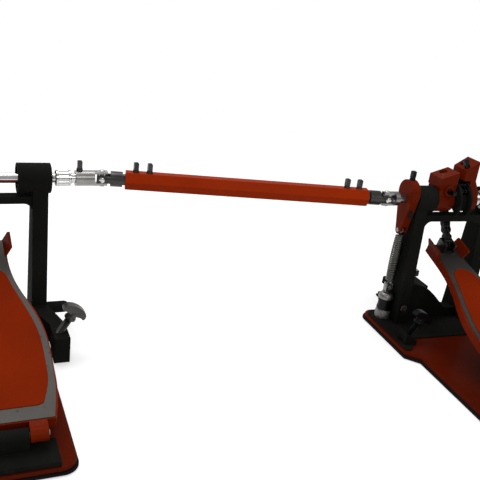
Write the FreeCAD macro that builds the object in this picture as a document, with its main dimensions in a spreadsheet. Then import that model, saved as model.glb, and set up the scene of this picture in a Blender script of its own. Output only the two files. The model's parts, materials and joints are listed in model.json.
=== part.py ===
"""Double bass drum pedal: a main pedal, a slave pedal and the drive shaft that joins them.

Millimetres. Each pedal is drawn in its own frame: X along the axle, +Y towards the drum, +Z up, with the
origin on the floor under the middle of the axle. The main pedal's frame is the frame of the whole object.
"""
import FreeCAD, Part
import math
import os
from FreeCAD import Placement, Rotation, Vector

doc = FreeCAD.newDocument("double_pedal")
sheet = doc.addObject("Spreadsheet::Sheet", "Sizes")

SIZES = (
    ("axle_height", 168, "floor to the axle line"),
    ("axle_dia", 11, "axle and sleeve diameter"),
    ("spigot_dia", 6, "main axle's spigot inside the sleeve"),
    ("running_gap", 0.05, "radial clearance of a running fit"),
    ("press_gap", 0.02, "radial clearance of pieces clamped on the axle"),
    ("side_gap", 0.5, "side clearance between neighbours on the axle"),
    ("sink", 1, "overlap of two forms that are joined"),
    ("mat_thick", 3, "rubber mat"),
    ("mat_rim", 1.5, "how far the mat shows round the plate"),
    ("plate_thick", 4, "base plate"),
    ("base_front", 22, "front edge of the wide part, from the axle plane"),
    ("base_step", 84, "where the wide part ends, behind the axle plane"),
    ("base_back", 262, "rear edge, behind the axle plane"),
    ("base_corner", 14, "corner radius"),
    ("main_half_front", 82, "main base half width in front"),
    ("main_half_back", 68, "main base half width behind the step"),
    ("slave_half_front", 46, "slave base half width in front"),
    ("slave_half_back", 44, "slave base half width behind the step"),
    ("slave_half_left", 78, "slave base half width in front, spring side"),
    ("tongue_half", 27, "half width of the hoop clamp's tongue"),
    ("tongue_front", 72, "front edge of the tongue"),
    ("main_post_gap", 82, "clear width between the main posts"),
    ("slave_post_gap", 74, "clear width between the slave posts"),
    ("post_width", 16, "post across the axle"),
    ("post_top", 22, "post depth under the housing"),
    ("post_foot", 42, "post depth on the base"),
    ("housing_dia", 32, "bearing housing"),
    ("main_boss_long", 10, "main housing past the post's inner face on the shaft side"),
    ("slave_boss_long", 15, "slave housing past the post's inner face on the shaft side"),
    ("main_boss_out", 1, "main housings past the posts' outer faces"),
    ("slave_boss_out", 3, "slave housings past the posts' outer faces"),
    ("boss_short", 2, "housing past the post's inner face on the other side"),
    ("bearing_dia", 24, "bearing outside"),
    ("bearing_len", 13, "bearing length"),
    ("bridge_drop", 17, "axle line to the top of the bridge bar"),
    ("bridge_thick", 8, "bridge bar height"),
    ("bridge_depth", 13, "bridge bar depth"),
    ("bridge_clear", 3.4, "bridge bar behind the chain run"),
    ("bridge_gusset", 9, "corner gusset under the bridge bar"),
    ("cross_depth", 16, "lower crossmember depth"),
    ("cross_low", 20, "lower crossmember height at its low end"),
    ("cross_high", 55.5, "lower crossmember height at the shaft-side post"),
    ("board_shift", 1, "main footboard's middle line from the pedal's middle"),
    ("slave_shift", -8, "slave footboard's middle line from the pedal's middle"),
    ("chain_radius", 22, "chain line on the cam"),
    ("cheek_radius", 26, "cam cheek"),
    ("cheek_thick", 3, "cam cheek"),
    ("channel", 11.4, "clear width between the cheeks"),
    ("cheek_from", -15, "front end of the cheeks, degrees above level"),
    ("cheek_to", 215, "rear end of the cheeks, degrees above level"),
    ("floor_from", 95, "front end of the cam floor, degrees above level"),
    ("core_radius", 11.5, "cam core"),
    ("floor_radius", 18, "cam floor under the wound chain"),
    ("chain_width", 10, "chain across the plates"),
    ("chain_plate", 1.4, "chain plate thickness"),
    ("chain_deep", 7.6, "chain plate height"),
    ("chain_waist", 5.4, "chain plate height between two pins"),
    ("roller_dia", 5.4, "chain roller"),
    ("main_links", 7, "pitches in the main straight run"),
    ("slave_links", 8, "pitches in the slave straight run"),
    ("run_angle", -5, "where the straight run leaves the cam, above level"),
    ("hinge_back", 236, "heel hinge behind the axle plane"),
    ("hinge_height", 24, "heel hinge above the floor"),
    ("hinge_dia", 6, "heel hinge pin"),
    ("knuckle_dia", 13, "hinge knuckle"),
    ("knuckle_heel", 30, "heel plate's knuckle width"),
    ("knuckle_board", 15, "each footboard knuckle's width"),
    ("toe_y", -10, "toe pin ahead of the axle plane, behind it when negative"),
    ("main_toe_drop", 56, "main toe pin under the axle line"),
    ("slave_toe_drop", 66.2, "slave toe pin under the axle line"),
    ("toe_pin_dia", 4, "toe pin"),
    ("toe_rise", 15, "toe pin above the hinge line of the board"),
    ("board_over", 6, "board's top above the hinge line"),
    ("board_skirt", 10.5, "board height over its skirt"),
    ("board_skin", 4.5, "board's top wall"),
    ("board_wall", 3.5, "skirt wall"),
    ("board_start", 9, "board's heel end from the hinge"),
    ("board_end", 252, "board's toe end from the hinge"),
    ("board_half", 44, "board half width at its widest"),
    ("heel_half", 38, "board half width at the heel"),
    ("toe_half", 19, "board half width at the toe"),
    ("wide_from", 60, "where the board reaches its full width"),
    ("wide_to", 90, "where the board starts to narrow"),
    ("narrow_at", 222, "where the board reaches its toe width"),
    ("ear_high", 11, "toe ears above the board"),
    ("ear_long", 27, "toe ears along the board"),
    ("ear_thick", 3, "toe ears"),
    ("ear_flare", 5, "toe ears lean out by this at their tops"),
    ("panel_inset", 7, "grey border round the tread panel"),
    ("panel_thick", 1.4, "tread panel"),
    ("panel_from", 24, "tread panel's heel end"),
    ("panel_to", 205, "tread panel's toe end"),
    ("clamp_long", 16, "chain clamp along the board"),
    ("clamp_cheek", 3, "chain clamp cheek"),
    ("heel_front", 228, "heel plate's front edge behind the axle plane"),
    ("heel_thick", 5, "heel plate"),
    ("lever_thick", 10, "spring lever across the axle"),
    ("lever_head", 15.5, "lever head radius"),
    ("lever_rise", 8, "middle of the lever head above the axle"),
    ("lever_tip", 5, "lever tip radius"),
    ("lever_reach", 40, "axle to the lever's spring pin"),
    ("lever_slot", 6.2, "fork slot for the spring's hook"),
    ("spring_pin_dia", 4, "pins that the spring hooks hold"),
    ("spring_low", 53, "lower spring pin above the floor"),
    ("spring_dia", 11, "spring outside"),
    ("spring_wire", 1.8, "spring wire"),
    ("spring_pitch", 2.42, "rise of one turn"),
    ("hook_radius", 3.6, "middle of the spring's hook"),
    ("hook_room", 7.25, "spring pin to the end of the coil"),
    ("felt_dia", 6.4, "felt damper inside the spring"),
    ("felt_share", 0.4, "felt damper's length over the distance between the spring pins"),
    ("felt_drop", 13, "felt's upper end under the upper spring pin"),
    ("clevis_deep", 8.5, "clevis under the lower spring pin"),
    ("clevis_wall", 1.5, "clevis in front of and behind the spring pin"),
    ("rod_dia", 8, "tension rod"),
    ("nut_dia", 19.5, "dome nut, lock ring and knurled nut"),
    ("dome_top", 12, "dome nut's top"),
    ("dome_low", 33.5, "foot of the dome nut above the floor"),
    ("ring_low", 23.5, "foot of the lock ring above the floor"),
    ("nut_high", 10, "height of each nut"),
    ("hub_depth", 25, "beater hubs along Y"),
    ("hub_boss", 13, "round boss on the left hub"),
    ("socket_shift", 5, "beater sockets ahead of the axle plane"),
    ("axle_proud", 2, "axle past the lever"),
    ("hub_ring", 15, "beater hub radius round the axle"),
    ("left_hub_from", -30.5, "left beater hub, shaft end"),
    ("left_hub_over", 1.5, "left hub's block past its ring, above the housing"),
    ("left_hub_low", 29, "left hub's top at its shaft end, above the axle"),
    ("left_hub_high", 37, "left hub's top at its cam end"),
    ("main_hub_to", 26, "main beater hub, outer end"),
    ("main_hub_low", 40, "main hub's top at its cam end, above the axle"),
    ("main_hub_high", 51, "main hub's top at its outer end"),
    ("hub_shoulder", 12, "main hub's ring block above the axle, at its outer end"),
    ("main_hub_shift", 8, "main hub's block past the cam's shaft end"),
    ("axle_collar_dia", 20, "main axle's collar"),
    ("axle_collar_len", 9.5, "main axle's collar"),
    ("beater_rod", 9.5, "beater rod that the hubs take"),
    ("socket_gap", 0.15, "radial clearance of the beater socket"),
    ("key_dia", 7, "key screw flange"),
    ("key_square", 5, "key screw's square head"),
    ("key_high", 8, "key screw's square above the flange"),
    ("key_flange", 3, "key screw flange"),
    ("shaft_span", 330, "between the crosses of the two universal joints"),
    ("slave_ahead", 60, "left cross ahead of the main axle line"),
    ("slave_yaw", 3, "slave pedal turned, in degrees"),
    ("main_cross", 95, "right cross from the main pedal's middle"),
    ("yoke_dia", 17, "universal joint"),
    ("yoke_gap", 10.4, "clear width between a yoke's ears"),
    ("yoke_reach", 5.5, "ear past the cross pin"),
    ("yoke_throat", 9, "yoke's floor from the cross"),
    ("yoke_body", 13, "solid length of a yoke"),
    ("stub_body", 6, "solid length of the yoke on the left beater's sleeve"),
    ("yoke_clamp", 20, "solid length of the yoke on the slave axle"),
    ("yoke_ear", 7.2, "ear width"),
    ("cross_cube", 7, "cross block"),
    ("cross_pin", 4, "cross pins"),
    ("cross_gap", 0.45, "radial clearance of the pins in the open yoke"),
    ("tube_start", 25, "cross to the tube's end"),
    ("tube_across", 19, "tube across its flats"),
    ("bar_across", 11, "hexagonal bar across its flats"),
    ("bar_gap", 0.15, "bar's side clearance in the tube"),
    ("bar_engaged", 95, "bar inside the tube"),
    ("screw_first", 11, "first key screw from the tube's end"),
    ("screw_step", 15, "between a pair of key screws"),
    ("collar_dia", 17, "slave axle's collar"),
    ("collar_len", 16, "slave axle's collar"),
    ("collar_clear", 5, "slave axle's collar past the housing"),
    ("yoke_clear", 5, "slave yoke past the collar"),
    ("axle_short", 3, "slave axle's end short of its yoke's floor"),
    ("spur_dia", 8, "T-bolt's shank"),
    ("spur_tilt", 32, "T-bolt's lean, in degrees"),
    ("spur_free", 16, "shank showing under the T-bolt's head"),
    ("spur_sunk", 10, "shank inside its block"),
    ("spur_hub", 8, "T-bolt's hub length"),
    ("spur_head", 26, "T-bolt's head, end to end"),
    ("spur_thick", 9, "T-bolt's head thickness"),
    ("block_half", 8, "T-bolt block half width"),
    ("main_spur_x", -66, "main T-bolt"),
    ("main_spur_y", -62, "main T-bolt"),
    ("main_block_high", 18, "main T-bolt's block above the floor"),
    ("slave_spur_x", 57.5, "slave T-bolt"),
    ("slave_spur_y", -80, "slave T-bolt"),
    ("slave_block_high", 28, "slave T-bolt's block above the floor"),
    ("lug_dia", 13, "slave post's lug"),
    ("lug_out", 19, "lug past the post"),
    ("lug_height", 21.5, "lug above the floor"),
    ("lug_back", 14, "lug behind the axle plane"),
    ("hoop_screw_y", 43, "hoop clamp screw ahead of the axle plane"),
    ("hoop_screw_dia", 8, "hoop clamp screw"),
    ("hoop_gap", 17, "hoop clamp's opening"),
    ("hoop_handle", 16, "hoop clamp screw's handle"),
    ("hoop_flange_dia", 14, "hoop clamp screw's flange"),
    ("hoop_flange_high", 3, "hoop clamp screw's flange"),
    ("jaw_thick", 7, "hoop clamp jaw"),
    ("jaw_back", 34, "jaw's rear edge ahead of the axle plane"),
    ("jaw_lip", 4, "jaw's lip"),
    ("jaw_inset", 3, "jaw narrower than the tongue, each side"),
    ("jaw_chamfer", 2, "jaw's front edge"),
    ("hoop_screw_top", 44, "shoulder of the hoop clamp screw above the floor"),
    ("bolt_head", 9, "frame screw heads"),
    ("bolt_high", 4, "frame screw heads"),
)
for row, (alias, value, note) in enumerate(SIZES, 1):
    sheet.set(f"A{row}", note)
    sheet.set(f"B{row}", str(value))
    sheet.setAlias(f"B{row}", alias)
doc.recompute()

X, Y, Z = Vector(1, 0, 0), Vector(0, 1, 0), Vector(0, 0, 1)
TINY = 1e-6
PIECES = []


def size(alias):
    """One driving dimension, read from the sheet."""
    return float(getattr(sheet, alias))


def place(obj, at=(0, 0, 0), turn=None):
    """Put an object at a point, turned if asked."""
    obj.Placement = Placement(Vector(*at), turn if turn else Rotation())
    return obj


def rod(name, dia, length, at, axis=X):
    """A cylinder from a point along an axis; dia and length are expressions on the sheet."""
    obj = doc.addObject("Part::Cylinder", name)
    obj.setExpression("Radius", f"({dia}) / 2")
    obj.setExpression("Height", length)
    return place(obj, at, Rotation(Z, axis))


def block(name, sides, at, turn=None):
    """A box with its low corner at a point; the sides are expressions on the sheet."""
    obj = doc.addObject("Part::Box", name)
    for prop, text in zip(("Length", "Width", "Height"), sides):
        obj.setExpression(prop, text)
    return place(obj, at, turn)


def cone(name, low, high, length, at, axis=Z):
    """A cone from a point along an axis; diameters and length are expressions on the sheet."""
    obj = doc.addObject("Part::Cone", name)
    obj.setExpression("Radius1", f"({low}) / 2")
    obj.setExpression("Radius2", f"({high}) / 2")
    obj.setExpression("Height", length)
    return place(obj, at, Rotation(Z, axis))


def hexagon(name, across, length, at, axis):
    """A hexagonal bar, a flat on top; across flats and length are expressions on the sheet."""
    obj = doc.addObject("Part::Prism", name)
    obj.Polygon = 6
    obj.setExpression("Circumradius", f"({across}) / sqrt(3)")
    obj.setExpression("Height", length)
    return place(obj, at, Rotation(Z.cross(axis), Z, axis, "ZYX"))


def join(name, *shapes):
    """One solid from several that overlap."""
    obj = doc.addObject("Part::MultiFuse", name)
    obj.Shapes = list(shapes)
    obj.Refine = True
    return obj


def group(name, *shapes):
    """Several separate solids under one name."""
    obj = doc.addObject("Part::Compound", name)
    obj.Links = list(shapes)
    return obj


def without(name, base, *tools):
    """A solid less one or more tools."""
    obj = doc.addObject("Part::Cut", name)
    obj.Base = base
    obj.Tool = tools[0] if len(tools) == 1 else join(name + "_tools", *tools)
    obj.Refine = True
    return obj


def outline(points):
    """Edges of a closed outline: a point, or a pair (middle of an arc, end of the arc)."""
    edges = []
    here = start = Vector(*points[0], 0)
    for step in list(points[1:]) + [points[0]]:
        if isinstance(step[0], tuple):
            middle, end = (Vector(*p, 0) for p in step)
            edges.append(Part.Arc(here, middle, end))
        else:
            end = Vector(*step, 0)
            if end.distanceToPoint(here) > TINY:
                edges.append(Part.LineSegment(here, end))
        here = end
    assert here.distanceToPoint(start) < TINY
    return edges


def sketch(body, name, plane, offset, *outlines):
    """A sketch on one of the body's own planes, moved along that plane's normal."""
    drawing = body.newObject("Sketcher::SketchObject", name)
    base = next(f for f in body.Origin.OriginFeatures if f.Role == plane + "_Plane")
    drawing.AttachmentSupport = [(base, "")]
    drawing.MapMode = "FlatFace"
    drawing.AttachmentOffset = Placement(Vector(0, 0, offset), Rotation())
    for points in outlines:
        drawing.addGeometry(outline(points), False)
    return drawing


def pad(name, plane, offset, length, *outlines):
    """A body padded from a sketch; length is an expression on the sheet."""
    body = doc.addObject("PartDesign::Body", name)
    drawing = sketch(body, name + "_outline", plane, offset, *outlines)
    feature = body.newObject("PartDesign::Pad", name + "_pad")
    feature.Profile = drawing
    feature.setExpression("Length", length)
    doc.recompute()
    return body


def pocket(body, name, plane, offset, depth, points):
    """A pocket into a body from a plane, checked to have removed something."""
    before = body.Shape.Volume
    drawing = sketch(body, name + "_outline", plane, offset, points)
    feature = body.newObject("PartDesign::Pocket", name)
    feature.Profile = drawing
    feature.setExpression("Length", depth)
    feature.Reversed = True
    doc.recompute()
    assert body.Shape.Volume < before - TINY, name
    return body


def piece(label, obj, frame=None):
    """Name a finished sub-part and set it in its pedal's frame."""
    obj.Label = label
    if frame is not None:
        obj.Placement = frame.multiply(obj.Placement)
    PIECES.append(obj)
    return obj


# Frames of the two pedals and the line of the drive shaft
HEIGHT = size("axle_height")
AXLE = "Sizes.axle_dia"
BASE_TOP = size("mat_thick") + size("plate_thick")
GAP = size("side_gap")
SINK = size("sink")
CROSS_RIGHT = Vector(-size("main_cross"), 0, HEIGHT)
SHAFT_RUN = math.sqrt(size("shaft_span") ** 2 - size("slave_ahead") ** 2)
CROSS_LEFT = CROSS_RIGHT + Vector(-SHAFT_RUN, size("slave_ahead"), 0)
SHAFT = CROSS_RIGHT - CROSS_LEFT
SHAFT.normalize()
PEDALS = ("main", "slave")
SHAFT_SIDE = {"main": -1, "slave": 1}
INNER = {name: size(name + "_post_gap") / 2 for name in PEDALS}
OUTER = {name: INNER[name] + size("post_width") for name in PEDALS}
BOARD_MIDDLE = {"main": size("board_shift"), "slave": size("slave_shift")}
COLLAR_FROM = OUTER["slave"] + size("slave_boss_out") + size("collar_clear")
YOKE_FROM = COLLAR_FROM + size("collar_len") + size("yoke_clear")
SLAVE_CROSS = YOKE_FROM + size("yoke_clamp") + size("yoke_throat")
SLAVE_TURN = Rotation(Z, size("slave_yaw"))
SLAVE_AT = CROSS_LEFT - SLAVE_TURN.multVec(X) * SLAVE_CROSS - Z * HEIGHT
FRAMES = {"main": Placement(), "slave": Placement(SLAVE_AT, SLAVE_TURN)}

# Spring levers on the axles, and the lines of the springs under them
LEVER_FROM = {name: OUTER[name] + size(name + "_boss_out") + 3 * GAP for name in PEDALS}
SPRING_X = {name: LEVER_FROM[name] + size("lever_thick") / 2 for name in PEDALS}
AXLE_END = {name: LEVER_FROM[name] + size("lever_thick") + size("axle_proud") for name in PEDALS}
HEAD_Z = HEIGHT + size("lever_rise")
LEVER_TOP = HEAD_Z + size("lever_head")
SPRING_HIGH = HEIGHT - size("lever_reach")
SPRING_SPAN = SPRING_HIGH - size("spring_low")


def bend(start, end, upright):
    """Two equal arcs from start to end that leave and arrive along Y (upright) or along X."""
    if not upright:
        flipped = bend(start[::-1], end[::-1], True)
        return [(middle[::-1], stop[::-1]) for middle, stop in flipped]
    across, along = (end[0] - start[0]) / 2, (end[1] - start[1]) / 2
    radius = (along ** 2 + across ** 2) / (2 * abs(across))
    half = math.asin(abs(along) / radius) / 2
    out = math.copysign(radius * (1 - math.cos(half)), across)
    up = math.copysign(radius * math.sin(half), along)
    middle = (start[0] + across, start[1] + along)
    return [((start[0] + out, start[1] + up), middle), ((end[0] - out, end[1] - up), end)]


def mirrored(points):
    """The other half of an outline whose right half runs from its first to its last point."""
    ends = [step[1] if isinstance(step[0], tuple) else step for step in points]
    other = []
    for i in range(len(points) - 1, -1, -1):
        end = ends[i]
        if i == len(points) - 1:
            other.append((-end[0], end[1]))
        else:
            after = points[i + 1]
            if isinstance(after[0], tuple):
                other.append(((-after[0][0], after[0][1]), (-end[0], end[1])))
            else:
                other.append((-end[0], end[1]))
    return other


def key_screw(name, at, axis):
    """A drum-key screw: square head, flange and a shank sunk in what it holds."""
    along = Rotation(Z, axis)
    flange = rod(name + "_flange", "Sizes.key_dia", "Sizes.key_flange", at, axis)
    half = size("key_square") / 2
    corner = Vector(*at) + along.multVec(Vector(-half, -half, size("key_flange") - SINK))
    sides = ("Sizes.key_square", "Sizes.key_square", "Sizes.key_high + Sizes.sink")
    head = block(name + "_head", sides, corner, along)
    foot = Vector(*at) - along.multVec(Z) * size("key_flange")
    shank = rod(name + "_shank", "Sizes.key_square", "Sizes.key_flange + Sizes.sink", foot, axis)
    return join(name, flange, head, shank)


def key_hole(name, at, axis):
    """The hole that a key screw's shank sits in."""
    foot = Vector(*at) - Rotation(Z, axis).multVec(Z) * (size("key_flange") + GAP)
    deep = "Sizes.key_flange + Sizes.sink + Sizes.side_gap"
    return rod(name, "Sizes.key_square + 2 * Sizes.press_gap", deep, foot, axis)


def base_half(wide, grow, narrow):
    """Right half of a base plate, from its front to its rear."""
    corner = size("base_corner")
    cut = corner * (1 - math.sqrt(0.5))
    front = size("base_front") + grow
    step = -size("base_step") - grow
    back = -size("base_back") - grow
    wide, narrow = wide + grow, narrow + grow
    slant = min(wide - narrow, size("base_step") / 2)
    return [(wide - corner, front), ((wide - cut, front - cut), (wide, front - corner)), (wide, step),
            (narrow, step - slant), (narrow, back + corner),
            ((narrow - cut, back + cut), (narrow - corner, back))]


def base_outline(pedal, grow):
    """Outline of a base plate, or of its mat when grown."""
    narrow = size(pedal + "_half_back")
    left = size("main_half_front") if pedal == "main" else size("slave_half_left")
    points = base_half(size(pedal + "_half_front"), grow, narrow) + mirrored(base_half(left, grow, narrow))
    if pedal == "main":
        reach, tip = size("tongue_half") + grow, size("tongue_front") + grow
        front = size("base_front") + grow
        points += [(-reach, front), (-reach, tip), (reach, tip), (reach, front)]
    return points


def base(pedal):
    """Base plate and the rubber mat under it."""
    mat = pad(pedal + "_mat", "XY", 0, "Sizes.mat_thick", base_outline(pedal, size("mat_rim")))
    plate = pad(pedal + "_plate", "XY", size("mat_thick"), "Sizes.plate_thick", base_outline(pedal, 0))
    piece(pedal + "_rubber_mat", mat, FRAMES[pedal])
    piece(pedal + "_base_plate", plate, FRAMES[pedal])


def housing_ends(pedal, side):
    """Where the housing on one post starts and ends, from low to high X."""
    boss = size(pedal + "_boss_long") if side == SHAFT_SIDE[pedal] else size("boss_short")
    return sorted((side * (INNER[pedal] - boss), side * (OUTER[pedal] + size(pedal + "_boss_out"))))


def post(pedal, side):
    """One post with its bearing housing."""
    name = f"{pedal}_{'left' if side < 0 else 'right'}_post"
    top, foot = size("post_top") / 2, size("post_foot") / 2
    low = min(side * INNER[pedal], side * OUTER[pedal])
    column = pad(name + "_column", "YZ", low, "Sizes.post_width",
                 [(-foot, BASE_TOP), (foot, BASE_TOP), (top, HEIGHT), (-top, HEIGHT)])
    start, end = housing_ends(pedal, side)
    boss = f"{pedal}_boss_long" if side == SHAFT_SIDE[pedal] else "boss_short"
    reach = f"Sizes.post_width + Sizes.{pedal}_boss_out + Sizes.{boss}"
    shell = rod(name + "_shell", "Sizes.housing_dia", reach, (start, 0, HEIGHT))
    tools = [rod(name + "_bore", "Sizes.bearing_dia", reach, (start, 0, HEIGHT))]
    if pedal == "main" or side < 0:
        tools.append(rod(name + "_relief", "Sizes.nut_dia + 4 * Sizes.side_gap",
                         "Sizes.dome_low + Sizes.nut_high", (side * SPRING_X[pedal], 0, 0), Z))
    solids = [column, shell]
    if pedal == "slave" and side > 0:
        solids += slave_foot(name)
        at, axis = spur_seat("slave")
        tools.append(spur_hole(name + "_spur", at, axis))
    if pedal == "main":
        tools.append(rod(name + "_seat", "Sizes.bolt_head + 2 * Sizes.side_gap", "Sizes.bolt_head",
                         bolt_at(side), Y * -1))
    piece(name, without(name, join(name + "_solid", *solids), *tools), FRAMES[pedal])


def bolt_at(side):
    """Seat of the screw in a main post's face, on the player's side."""
    depth = size("post_foot") / 2 - size("bolt_high")
    return (side * (INNER["main"] + OUTER["main"]) / 2, -depth, size("cross_low") + size("bolt_head"))


def slave_foot(name):
    """Lug, web and T-bolt block cast on the slave's shaft-side post."""
    inner, outer = INNER["slave"], OUTER["slave"]
    lug_at = (inner + SINK, -size("lug_back"), size("lug_height"))
    lug = rod(name + "_lug", "Sizes.lug_dia", "Sizes.post_width + Sizes.lug_out - Sizes.sink", lug_at)
    end = doc.addObject("Part::Sphere", name + "_lug_end")
    end.setExpression("Radius", "Sizes.lug_dia / 2")
    place(end, (outer + size("lug_out"), -size("lug_back"), size("lug_height")))
    x, y, half = size("slave_spur_x"), size("slave_spur_y"), size("block_half")
    foot = size("post_foot") / 2
    root = -foot + half / 2
    web = pad(name + "_web", "XY", BASE_TOP, "Sizes.slave_block_high - Sizes.mat_thick - Sizes.plate_thick",
              [(inner, root), (outer, root), (x + half, y + 2 * half), (x + half, y),
               (x - half, y), (x - half, y + 2 * half), (inner, -foot - half)])
    stand = block(name + "_stand", ("2 * Sizes.block_half", "3 * Sizes.block_half", "Sizes.slave_block_high"),
                  (x - half, y - 2 * half, 0))
    return [lug, end, web, stand]


def spur_seat(pedal):
    """Where a T-bolt leaves its block, and its direction."""
    tilt = math.radians(size("spur_tilt"))
    axis = Vector(math.sin(tilt), 0, math.cos(tilt))
    return Vector(size(pedal + "_spur_x"), size(pedal + "_spur_y"), size(pedal + "_block_high")), axis


def spur_hole(name, at, axis):
    """Running hole for a T-bolt's shank, through the face of its block."""
    return rod(name, "Sizes.spur_dia + 2 * Sizes.running_gap", "2 * Sizes.spur_sunk + Sizes.side_gap",
               at - axis * (size("spur_sunk") + GAP), axis)


def t_bolt(pedal):
    """T-bolt that leans out of its block."""
    at, axis = spur_seat(pedal)
    name = pedal + "_t_bolt"
    turn = Rotation(Z, axis)
    shank = rod(name + "_shank", "Sizes.spur_dia", "Sizes.spur_sunk + Sizes.spur_free + Sizes.sink",
                at - axis * size("spur_sunk"), axis)
    hub_at = at + axis * size("spur_free")
    hub = rod(name + "_hub", "Sizes.spur_dia + Sizes.spur_thick / 2", "Sizes.spur_hub + Sizes.sink", hub_at,
              axis)
    half = Vector(size("spur_head") / 2, size("spur_thick") / 2, 0)
    corner = hub_at + axis * size("spur_hub") - turn.multVec(half)
    head = block(name + "_head", ("Sizes.spur_head", "Sizes.spur_thick", "Sizes.spur_thick"), corner, turn)
    piece(name, join(name, shank, hub, head), FRAMES[pedal])


def spur_block():
    """Block on the main base that takes the T-bolt."""
    at, axis = spur_seat("main")
    half = size("block_half")
    high = "Sizes.main_block_high - Sizes.mat_thick - Sizes.plate_thick + Sizes.spur_dia"
    solid = block("spur_solid", ("2 * Sizes.block_half", "2 * Sizes.block_half", high),
                  (at.x - half, at.y - half, BASE_TOP))
    cap = rod("spur_cap", "8 * Sizes.block_half", "4 * Sizes.spur_dia", at, axis)
    piece("main_spur_block", without("main_spur_block", solid, cap, spur_hole("spur_hole", at, axis)))


def bearings(pedal):
    """The two bearings of one pedal."""
    rings = []
    for side in (-1, 1):
        name = f"{pedal}_bearing_{side + 1}"
        start, end = housing_ends(pedal, side)
        low = ((start + end) - size("bearing_len")) / 2
        at = (low, 0, HEIGHT)
        ring = rod(name + "_ring", "Sizes.bearing_dia - 2 * Sizes.press_gap", "Sizes.bearing_len", at)
        bore = rod(name + "_bore", "Sizes.axle_dia + 2 * Sizes.running_gap", "Sizes.bearing_len", at)
        rings.append(without(name, ring, bore))
    piece(pedal + "_bearings", group(pedal + "_bearings", *rings), FRAMES[pedal])


def bridge(pedal):
    """Bar between the posts, under the axle, with a gusset at each end."""
    top = HEIGHT - size("bridge_drop")
    low = top - size("bridge_thick")
    cut = size("bridge_gusset")
    bow = cut * (1 - math.sqrt(0.5))
    inner = INNER[pedal]
    half = [(inner, top), (inner, low - cut), ((inner - bow, low - bow), (inner - cut, low))]
    run = RUN_TOP - run_foot(pedal)
    chain = size("toe_y") + run.x * (low - TOE_Z[pedal]) / run.y - size("chain_deep") / 2 * run.Length / run.y
    front = size("bridge_clear") - chain
    body = pad(pedal + "_bridge", "XZ", front, "Sizes.bridge_depth", half + mirrored(half))
    piece(pedal + "_bridge", body, FRAMES[pedal])


def crossmember():
    """Lower casting between the main posts, high beside the shaft-side post."""
    low, high = size("cross_low"), size("cross_high")
    inner = INNER["main"]
    shoulder, flat = -inner + size("bridge_gusset"), inner / 2
    points = [(-inner, BASE_TOP), (inner, BASE_TOP), (inner, low), (flat, low),
              *bend((flat, low), (shoulder, high), False), (-inner, high)]
    body = pad("crossmember", "XZ", -size("cross_depth") / 2, "Sizes.cross_depth", points)
    piece("main_crossmember", body)


def frame_screws():
    """Screws in the main posts and the heel plate."""
    heads = []
    for side in (-1, 1):
        heads.append(rod(f"post_screw_{side + 1}", "Sizes.bolt_head", "Sizes.bolt_high", bolt_at(side),
                         Y * -1))
        at = (BOARD_MIDDLE["main"] + side * (size("heel_half") - size("bolt_head")),
              -size("base_back") + 2 * size("bolt_head"), BASE_TOP + size("heel_thick"))
        heads.append(rod(f"heel_screw_{side + 1}", "Sizes.bolt_head", "Sizes.bolt_high", at, Z))
    piece("main_frame_screws", group("frame_screws", *heads))


# Heel hinge, footboard and toe
TOE_Z = {name: HEIGHT - size(name + "_toe_drop") for name in PEDALS}
HEEL_BOW = (0.67, 0.38)
PANEL_ARCS = (0.4, 0.68, 0.82, 0.91)


def toe_arm(pedal):
    """From the heel hinge to the toe pin: length and angle."""
    rise, run = TOE_Z[pedal] - size("hinge_height"), size("toe_y") + size("hinge_back")
    return math.hypot(run, rise), math.atan2(rise, run)


def toe_long(pedal):
    """From the heel hinge to the toe pin, along the board."""
    return math.sqrt(toe_arm(pedal)[0] ** 2 - size("toe_rise") ** 2)


def board_frame(pedal):
    """Frame of a footboard: Y along the board from the hinge, Z out of its top."""
    arm, angle = toe_arm(pedal)
    slope = math.degrees(angle - math.asin(size("toe_rise") / arm))
    hinge = Vector(BOARD_MIDDLE[pedal], -size("hinge_back"), size("hinge_height"))
    return FRAMES[pedal].multiply(Placement(hinge, Rotation(X, slope)))


def board_outline(inset):
    """Footboard outline, from heel to toe and back, drawn in by an inset."""
    wide, heel, toe = (size(key) - inset for key in ("board_half", "heel_half", "toe_half"))
    start, end = size("board_start") + inset, size("board_end") - inset
    bow = (heel + (wide - heel) * HEEL_BOW[0], start + (size("wide_from") - start) * HEEL_BOW[1])
    half = [(heel, start), (bow, (wide, size("wide_from"))), (wide, size("wide_to")),
            *bend((wide, size("wide_to")), (toe, size("narrow_at")), True), (toe, end)]
    return half + mirrored(half)


def panel_outline():
    """Tread panel outline: straight sides, then half an ellipse towards the toe."""
    inset = size("panel_inset")
    wide, heel = size("board_half") - inset, size("heel_half") - inset
    low, high, turn = size("panel_from"), size("panel_to"), size("wide_to") - inset

    def rim(share):
        return wide * math.sqrt(1 - share ** 2), turn + (high - turn) * share

    first, second, third, last = (rim(share) for share in PANEL_ARCS)
    half = [(heel - inset, low), (heel, low + inset), (wide, size("wide_from")), (wide, turn),
            (first, second), (third, last)]
    other = mirrored(half)
    other[0] = ((0, high), other[0])
    return half + other


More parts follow.
